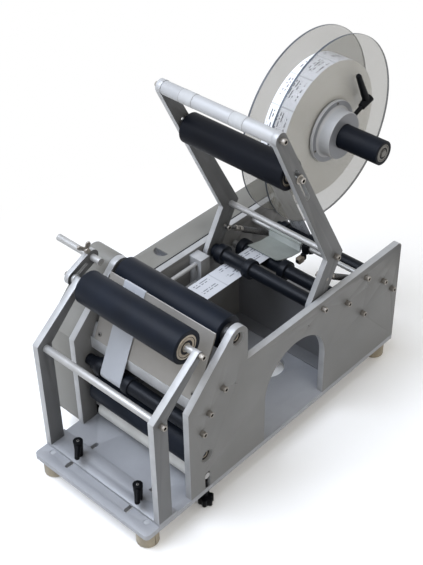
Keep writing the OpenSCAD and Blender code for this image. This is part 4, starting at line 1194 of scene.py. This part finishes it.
@dataclass
class ReturnSprings:
    """The two coil springs between the anchor rod and the studs of the press arm.

    Lengths along a spring start at its anchor, and those of its bolt and nuts at its stud.
    """

    x: float = 104.0
    stud: Point2 = (455.0, 240.0)
    anchor: Point2 = (630.0, 124.0)
    stud_r: float = 3.0
    anchor_r: float = 6.0
    play: float = 0.25
    wire_r: float = 1.15
    coil_r: float = 4.8
    turns: int = 38
    steps: int = 16
    hook: float = 250.0
    hook_starts: Point2 = (70.0, 220.0)
    hook_neck: float = 5.0
    coil_neck: float = 4.0
    lead: float = 72.0
    tail: float = 47.0
    bolt: Point2 = (11.0, 44.0)
    bolt_r: float = 2.4
    bolt_sides: int = 16
    nut_sides: int = 6
    nut_r: float = 5.6
    nut_t: float = 8.0
    nuts: tuple[float, ...] = (25.0, 38.0)
    chamfer: float = 0.7
    chamfer_share: float = 0.88
    blend: Point2 = (0.74, 0.985)

    def eye(self, radius: float, start: float, at: float) -> list[Point3]:
        """Bend an open hook round a rod.

        Args:
            radius: Middle radius of the hook in millimetres.
            start: Angle at which it starts, in degrees.
            at: Place of the rod along the spring.

        Returns:
            Points (over, across, along) of the hook.
        """
        angles = [math.radians(start + self.hook * k / self.steps) for k in range(self.steps + 1)]
        return [(radius * math.sin(a), 0.0, at + radius * math.cos(a)) for a in angles]

    def path(self, x: float) -> list[Vector]:
        """Draw the middle line of one spring: hook, coil and hook.

        Args:
            x: Place across the machine in millimetres.

        Returns:
            Points in the row frame.
        """
        ay, az = self.anchor
        dy, dz = self.stud[0] - ay, self.stud[1] - az
        length = math.hypot(dy, dz)
        wy, wz = dy / length, dz / length
        near, far = self.anchor_r + self.wire_r + self.play, self.stud_r + self.wire_r + self.play
        start, end, count = self.lead, length - self.tail, self.turns * self.steps
        coil = []
        for k in range(count + 1):
            a = FULL_TURN * k / self.steps
            coil.append((-self.coil_r * math.cos(a), self.coil_r * math.sin(a),
                         start + (end - start) * k / count))
        first, last = self.hook_starts
        local = [*self.eye(near, first, 0.0), (0.0, 0.0, near + self.hook_neck),
                 (0.0, 0.0, start - self.coil_neck), *coil, (0.0, 0.0, end + self.coil_neck),
                 (0.0, 0.0, length - far - self.hook_neck), *self.eye(far, last, length)]
        return [place(x + v, ay - u * wz + w * wy, az + u * wy + w * wz) for u, v, w in local]

    def bolt_on(self, piece: Object, stud: Vector, way: Vector) -> None:
        """Add the threaded end of a spring, with its two nuts, to the spring's mesh.

        Args:
            piece: The spring.
            stud: Middle of the stud that it hooks on.
            way: Direction from the anchor to the stud.
        """
        piece.data.materials.append(NICKEL.material())
        work = bmesh.new()
        work.from_mesh(piece.data)
        side = Vector((1, 0, 0))
        over = way.cross(side)
        runs = [(*self.bolt, self.bolt_r, self.bolt_sides, 0)]
        runs += [(start, start + self.nut_t, self.nut_r, self.nut_sides, 1) for start in self.nuts]
        for near, far, radius, sides, slot in runs:
            c, less = self.chamfer, self.chamfer_share * radius
            spokes = [side * math.cos(a) + over * math.sin(a) for a in spread(sides)]
            ends = [[work.verts.new(stud - way * (at / 1000) + spoke * (r / 1000)) for spoke in spokes]
                    for at, r in ((near, less), (near + c, radius), (far - c, radius), (far, less))]
            made = [work.faces.new(ends[0]), work.faces.new(ends[-1][::-1])]
            for low, high in zip(ends, ends[1:]):
                made += band(work, low, high)
            for face in made:
                face.material_index, face.smooth = slot, slot == 0
            bmesh.ops.recalc_face_normals(work, faces=made)
        work.to_mesh(piece.data)
        work.free()
        piece.data.update()

    def build(self) -> None:
        """Draw both springs, each held at the frame and at the press arm."""
        maker = WireMaker()
        for side in Side:
            x = side.value * self.x
            piece = maker.draw(f"return_spring_{side.name.lower()}", self.path(x), self.wire_r, SPRING)
            start, end = place(x, *self.anchor), place(x, *self.stud)
            self.bolt_on(piece, end, (end - start).normalized())
            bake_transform(piece)
            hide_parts("return_springs")
            LOG.info("%s stretches from machine_frame to press_arm", piece.name)


class HeadKind(Enum):
    """Shape of a screw's head."""

    SOCKET = "socket"
    DOME = "dome"
    PLAIN = "plain"


class Rim(Enum):
    """Outline of a ring of a screw's head."""

    ROUND = "round"
    KNURL = "knurl"
    HEXAGON = "hexagon"


@dataclass(frozen=True)
class Screw:
    """One screw: where its head sits, which way it looks, and its sizes in millimetres."""

    seat: Vector
    out: Vector
    head_r: float
    head_h: float
    shank_r: float
    length: float
    kind: HeadKind


@dataclass
class Fasteners:
    """Screws with knurled, domed or plain heads, set by geometry nodes where the CAD has its screws.

    Screws that the CAD leaves out have their sizes here: head radius and height, shank radius and length.
    """

    teeth: int = 30
    knurl: float = 0.045
    shank_sides: int = 24
    name: str = "screws_on_points"
    peel_normal: Point3 = (0.0, -0.918, 0.397)
    across: float = 0.03
    along: float = 0.997
    rim_share: float = 0.93
    tip_depth: float = 0.2
    longest_head: float = 12.0
    shortest_shank: float = 2.0
    axle_end: float = 122.9
    axle_screw: tuple[float, ...] = (5.4, 7.0, 3.0, 1.0)
    flange: Point2 = (-23.7, 52.4)
    flange_start: float = 80.0
    flange_screw: tuple[float, ...] = (2.6, 0.9, 1.5, 3.0)
    lever_top: Point3 = (71.0, 46.0, 37.6)
    lever_screw: tuple[float, ...] = (3.0, 1.4, 1.5, 1.0)
    keys: dict[str, str] = field(default_factory=dict)
    heads: dict[HeadKind, Object] = field(default_factory=dict)

    def read(self, work: Work) -> Optional[Screw]:
        """Read a screw's sizes from its CAD solid.

        Args:
            work: The solid.

        Returns:
            The screw, or None where the solid has no head.
        """
        choices = [Vector(way).normalized() for way in ((1, 0, 0), (0, 1, 0), (0, 0, 1), self.peel_normal)]

        def fit(way: Vector) -> float:
            """Return the area of the faces that lie along or across a direction."""
            turns = [(abs(face.normal.dot(way)), face.calc_area()) for face in work.faces]
            return sum(area for turn, area in turns if turn < self.across or turn > self.along)

        way = max(choices, key=fit)
        one = way.orthogonal().normalized()
        two = way.cross(one)
        spots = [(v.co.dot(one), v.co.dot(two), v.co.dot(way)) for v in work.verts]
        cu, cv = ((min(p[i] for p in spots) + max(p[i] for p in spots)) / 2 for i in (0, 1))
        rows = [(math.hypot(p[0] - cu, p[1] - cv) * 1000, p[2] * 1000) for p in spots]
        head_r = max(r for r, _ in rows)
        low, high = min(t for _, t in rows), max(t for _, t in rows)
        wide = [t for r, t in rows if r > self.rim_share * head_r]
        head_low, head_high = min(wide), max(wide)
        head_h = head_high - head_low
        sign = 1 if high - head_high < head_low - low else -1
        seat, tip = (head_low, low) if sign > 0 else (head_high, high)
        shank = [r for r, t in rows if abs(t - tip) < self.tip_depth]
        if not shank or head_h > self.longest_head or high - low < head_h + self.shortest_shank:
            return None
        kind = HeadKind.SOCKET if abs(way.x) > 0.9 else HeadKind.PLAIN if abs(way.z) > 0.9 else HeadKind.DOME
        spot = one * cu + two * cv + way * (seat / 1000)
        return Screw(spot, way * sign, head_r, head_h, max(shank), abs(seat - tip), kind)

    def prototype(self, kind: HeadKind) -> Object:
        """Make one head of unit size, its seat at the origin and its top towards +z.

        Args:
            kind: Shape of the head.

        Returns:
            An object that only feeds the geometry nodes; a face attribute marks the socket.
        """
        work = bmesh.new()
        mark = work.faces.layers.bool.new("in_socket")
        sides, sixth = self.teeth * 2, math.pi / 3
        plain, knurl, key = Rim

        def ring(radius: float, z: float, rim: Rim) -> list[Vert]:
            """Draw a ring of the head.

            Args:
                radius: Its radius.
                z: Its height.
                rim: Its outline.

            Returns:
                Its points, in order.
            """
            points = []
            for k, a in enumerate(spread(sides)):
                r = radius
                if rim is knurl and k % 2:
                    r -= self.knurl
                elif rim is key:
                    r *= math.cos(sixth / 2) / math.cos(a % sixth - sixth / 2)
                points.append(work.verts.new((r * math.cos(a), r * math.sin(a), z)))
            return points

        rows = [(0.3, 0.0, plain)]
        if kind is HeadKind.SOCKET:
            rows += [(0.95, 0.0, plain), (1.0, 0.06, knurl), (1.0, 0.84, knurl), (0.96, 0.9, plain),
                     (0.83, 1.0, plain), (0.66, 1.0, plain), (0.6, 0.95, key), (0.6, 0.45, key)]
        elif kind is HeadKind.DOME:
            arc = [math.radians(a) for a in (0, 15, 30, 45, 60)]
            rows += [(1.0, 0.0, plain), *((math.cos(a), 0.2 + 0.8 * math.sin(a), plain) for a in arc),
                     (0.52, 0.97, plain), (0.47, 0.9, key), (0.47, 0.4, key)]
        else:
            rows += [(1.0, 0.0, plain), (1.0, 0.85, plain), (0.93, 0.96, plain), (0.5, 1.0, plain),
                     (0.1, 1.0, plain)]
        rings = [ring(*row) for row in rows]
        hollow = kind is not HeadKind.PLAIN
        for number, (low, high) in enumerate(zip(rings, rings[1:])):
            for face in band(work, low, high):
                face[mark] = hollow and number >= len(rings) - 2
        work.faces.new(rings[-1])[mark] = hollow
        work.faces.new(rings[0][::-1])
        bmesh.ops.recalc_face_normals(work, faces=work.faces)
        return shaped(kind.value + "_head", work, [SCREW], degrees=28)

    def tree(self) -> NodeTree:
        """Make the node group that sets a head and a shank on every point, on first use.

        Returns:
            The group, with inputs for the points, the head, the shank's sides and both finishes.
        """
        known = bpy.data.node_groups.get(self.name)
        if known:
            return known
        tree = bpy.data.node_groups.new(self.name, "GeometryNodeTree")
        named(tree, "Points", "NodeSocketGeometry")
        for key, kind in (("Head", "NodeSocketObject"), ("Shank Sides", "NodeSocketInt"),
                          ("Finish", "NodeSocketMaterial"), ("Socket Finish", "NodeSocketMaterial")):
            self.keys[key] = named(tree, key, kind)
        named(tree, "Screws", "NodeSocketGeometry", "OUTPUT")
        start = add(tree, "NodeGroupInput").outputs
        turn, head, shank, in_socket = (
            add(tree, "GeometryNodeInputNamedAttribute", {"data_type": kind}, {
                "Name": key}).outputs["Attribute"]
            for key, kind in (("turn", "FLOAT_VECTOR"), ("head", "FLOAT_VECTOR"), ("shank", "FLOAT_VECTOR"),
                               ("in_socket", "BOOLEAN")))
        turned = add(tree, "FunctionNodeEulerToRotation", inputs={0: turn}).outputs[0]
        cap = add(tree, "GeometryNodeObjectInfo", inputs={0: start["Head"]})
        bar = add(tree, "GeometryNodeMeshCylinder", inputs={
            "Vertices": start["Shank Sides"], "Radius": 1.0, "Depth": 1.0})
        hung = add(tree, "GeometryNodeTransform", inputs={
            "Geometry": bar.outputs["Mesh"], "Translation": (0.0, 0.0, -0.5)})
        both = add(tree, "GeometryNodeJoinGeometry")
        for scale, shape in ((head, cap), (shank, hung)):
            made = add(tree, "GeometryNodeInstanceOnPoints", inputs={
                "Points": start["Points"], "Instance": shape.outputs["Geometry"],
                "Rotation": turned, "Scale": scale})
            tree.links.new(made.outputs["Instances"], both.inputs["Geometry"])
        real = add(tree, "GeometryNodeRealizeInstances", inputs={"Geometry": both.outputs["Geometry"]})
        dressed = add(tree, "GeometryNodeSetMaterial", inputs={
            "Geometry": real.outputs["Geometry"], "Material": start["Finish"]})
        greased = add(tree, "GeometryNodeSetMaterial", inputs={
            "Geometry": dressed.outputs["Geometry"], "Selection": in_socket,
            "Material": start["Socket Finish"]})
        add(tree, "NodeGroupOutput", inputs={"Screws": greased.outputs["Geometry"]})
        return tree

    def fix(self, name: str, screws: Sequence[Screw], finish: Finish) -> Object:
        """Set screws of one kind and finish.

        Args:
            name: Name of the piece.
            screws: The screws.
            finish: Their finish.

        Returns:
            The screws as one plain mesh.
        """
        mesh = bpy.data.meshes.new(name)
        mesh.from_pydata([screw.seat for screw in screws], [], [])
        rows = {"turn": [screw.out.to_track_quat("Z", "Y").to_euler() for screw in screws],
                "head": [Vector((screw.head_r, screw.head_r, screw.head_h)) / 1000 for screw in screws],
                "shank": [Vector((screw.shank_r, screw.shank_r, screw.length)) / 1000 for screw in screws]}
        for key, values in rows.items():
            for item, value in zip(mesh.attributes.new(key, "FLOAT_VECTOR", "POINT").data, values):
                item.vector = value
        piece = object_from(name, mesh, [])
        setter = piece.modifiers.new("screws", "NODES")
        setter.node_group = self.tree()
        # The faces inside the socket get the painted shade.
        for key, value in (("Head", self.heads[screws[0].kind]), ("Shank Sides", self.shank_sides),
                           ("Finish", finish.material()), ("Socket Finish", SOCKET.material())):
            setter[self.keys[key]] = value
        return applied(piece)

    def node_screws(self, node: str) -> None:
        """Replace a CAD node of screws and rods.

        Args:
            node: Name of the node.
        """
        screws, body = [], frame["nodes"][node]["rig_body"]
        for number, work in enumerate(solids(node)):
            screw = self.read(work)
            if screw:
                screws.append(screw)
                work.free()
            else:
                hang(deburred(f"{node}_rod_{number}", work, ROD, width=0.5), body, node)
        for kind, coat in ((HeadKind.SOCKET, SCREW), (HeadKind.DOME, ZINC), (HeadKind.PLAIN, PLUG)):
            chosen = [screw for screw in screws if screw.kind is kind]
            if chosen:
                hang(self.fix(f"{node}_{kind.value}_set", chosen, coat), body, node)

    def build(self) -> None:
        """Set every screw of the frame, the arms, the press axle, the hub's flange and the clamp levers."""
        self.heads = {kind: self.prototype(kind) for kind in HeadKind}
        self.node_screws("frame_screws")
        self.node_screws("press_arm_screws")
        self.node_screws("front_frame_rods")
        ends = [Screw(place(side.value * self.axle_end, *PRESS_AXIS), Vector((side.value, 0, 0)),
                      *self.axle_screw, HeadKind.SOCKET) for side in Side]
        hang(self.fix("press_axle_screws", ends, NICKEL), "press_roller_axle")
        (x, r), (y, z) = self.flange, REEL_AXIS
        turns = [math.radians(self.flange_start + 120 * k) for k in range(3)]
        ring = [Screw(place(x, y + r * math.cos(a), z + r * math.sin(a)), Vector((1, 0, 0)),
                      *self.flange_screw, HeadKind.SOCKET) for a in turns]
        hang(self.fix("hub_flange_screws", ring, ZINC), "outer_disc")
        x, y, z = self.lever_top
        for side in Side:
            lever = side.name.lower() + "_clamp_lever"
            top = Screw(place(side.value * x, y, z), Vector((0, 0, 1)), *self.lever_screw, HeadKind.DOME)
            hang(self.fix(lever + "_screw", [top], ZINC), lever)
        for head in self.heads.values():
            bpy.data.objects.remove(head)


@dataclass
class Bearings:
    """Ball bearings: two races with a shield or a rubber seal between them, all zinc inside the plates; their
    black seals and sunk gaps are partly painted shade.
    """

    chamfer: float = 0.5
    sink: float = 0.9
    proud: float = 0.15
    plates: float = 120.0

    def build(self) -> None:
        """Make every bearing of the frame and of the front roller."""
        # The plate bearings' black seals stand partly for the shade in their holes.
        for node, body, cover in (("ball_bearings", "machine_frame", SEAL_AND_SHADE),
                                  ("front_roller_bearings", "front_roller", SHIELD)):
            for number, work in enumerate(solids(node)):
                points = [vert.co.copy() for vert in work.verts]
                work.free()
                hang(self.bearing(f"{node}_set_{number}", points, cover), body, node)

    def bearing(self, name: str, points: Sequence[Vector], cover: Finish) -> Object:
        """Make one bearing in the place of its CAD ring.

        Args:
            name: Name of the piece.
            points: Points of the CAD ring.
            cover: Finish between the races, where it shows.

        Returns:
            The bearing, which rides on nothing yet.
        """
        low, high = (Vector((pick(p[i] for p in points) for i in range(3))) for pick in (min, max))
        y = (low.y + high.y) * 500 + MID_Y
        z = (low.z + high.z) * 500 - STAND
        x0, x1 = low.x * 1000 + MID_X, high.x * 1000 + MID_X
        races = BEARING
        if cover is SEAL_AND_SHADE and abs(x0 + x1) / 2 < self.plates:
            races = cover = ZINC
        big = (high.z - low.z) * 500
        small = min(math.hypot(p.y * 1000 + MID_Y - y, p.z * 1000 - STAND - z) for p in points)
        t, c, d, e = big - small, self.chamfer, self.sink, self.proud
        # Depth, radius, and the slot of the face that follows on the right and on the left side; slot 2, the
        # black of the sunk steps, is painted shade.
        side = [(0.0, big - c, 0, 0), (0.0, big - 0.20 * t, 2, 0), (d, big - 0.21 * t, 2, 2),
                (d, big - 0.27 * t, 1, 2), (e, big - 0.29 * t, 1, 1), (e, small + 0.42 * t, 2, 1),
                (d, small + 0.40 * t, 2, 2), (d, small + 0.13 * t, 0, 2), (0.0, small + 0.11 * t, 0, 0),
                (0.0, small + c, 0, 0)]
        profile = [(x0 + c, big, 0), (x1 - c, big, 0)]
        profile += [(x1 - u, r, m) for u, r, m, _ in side] + [(x1 - c, small, 0), (x0 + c, small, 0)]
        profile += [(x0 + u, r, m) for u, r, _, m in reversed(side)]
        return lathe(name, profile, (y, z), [races, cover, SEAL_AND_SHADE], steps=64)


@dataclass
class HandleWraps:
    """Two paper wraps on the handle bar."""

    centre: Point2 = (323.5, 570.0)
    bar_r: float = 11.5
    thick: float = 0.25
    sunk: float = 0.05
    wide: float = 27.0
    seam: float = 0.8
    middles: tuple[float, ...] = (-60.0, 42.0)

    def build(self) -> None:
        """Wind both wraps on the bar, each with a line of painted shade at its ends."""
        low, top, s = self.bar_r - self.sunk, self.bar_r + self.thick, self.seam
        for number, x in enumerate(self.middles):
            x0, x1 = x - self.wide / 2, x + self.wide / 2
            profile = [(x0, low, 1), (x0, top, 1), (x0 + s, top, 0), (x1 - s, top, 1), (x1, top, 1),
                       (x1, low, 1)]
            piece = lathe(f"handle_wrap_{number}", profile, self.centre, [TAPE, TAPE_EDGE_SHADE], steps=64)
            hang(piece, "press_arm")


def main() -> None:
    """Build the studio and every sub-assembly, in order."""
    logging.basicConfig(level=logging.INFO, format="%(name)s: %(message)s")
    for group in (Studio(), PlateWork(), TurnedWork(), SmallParts(), Reel(), LabelWeb(), ReturnSprings(),
                  Fasteners(), Bearings(), HandleWraps()):
        group.build()
        LOG.info("finished %s", type(group).__name__)


if __name__ == "__main__":
    main()
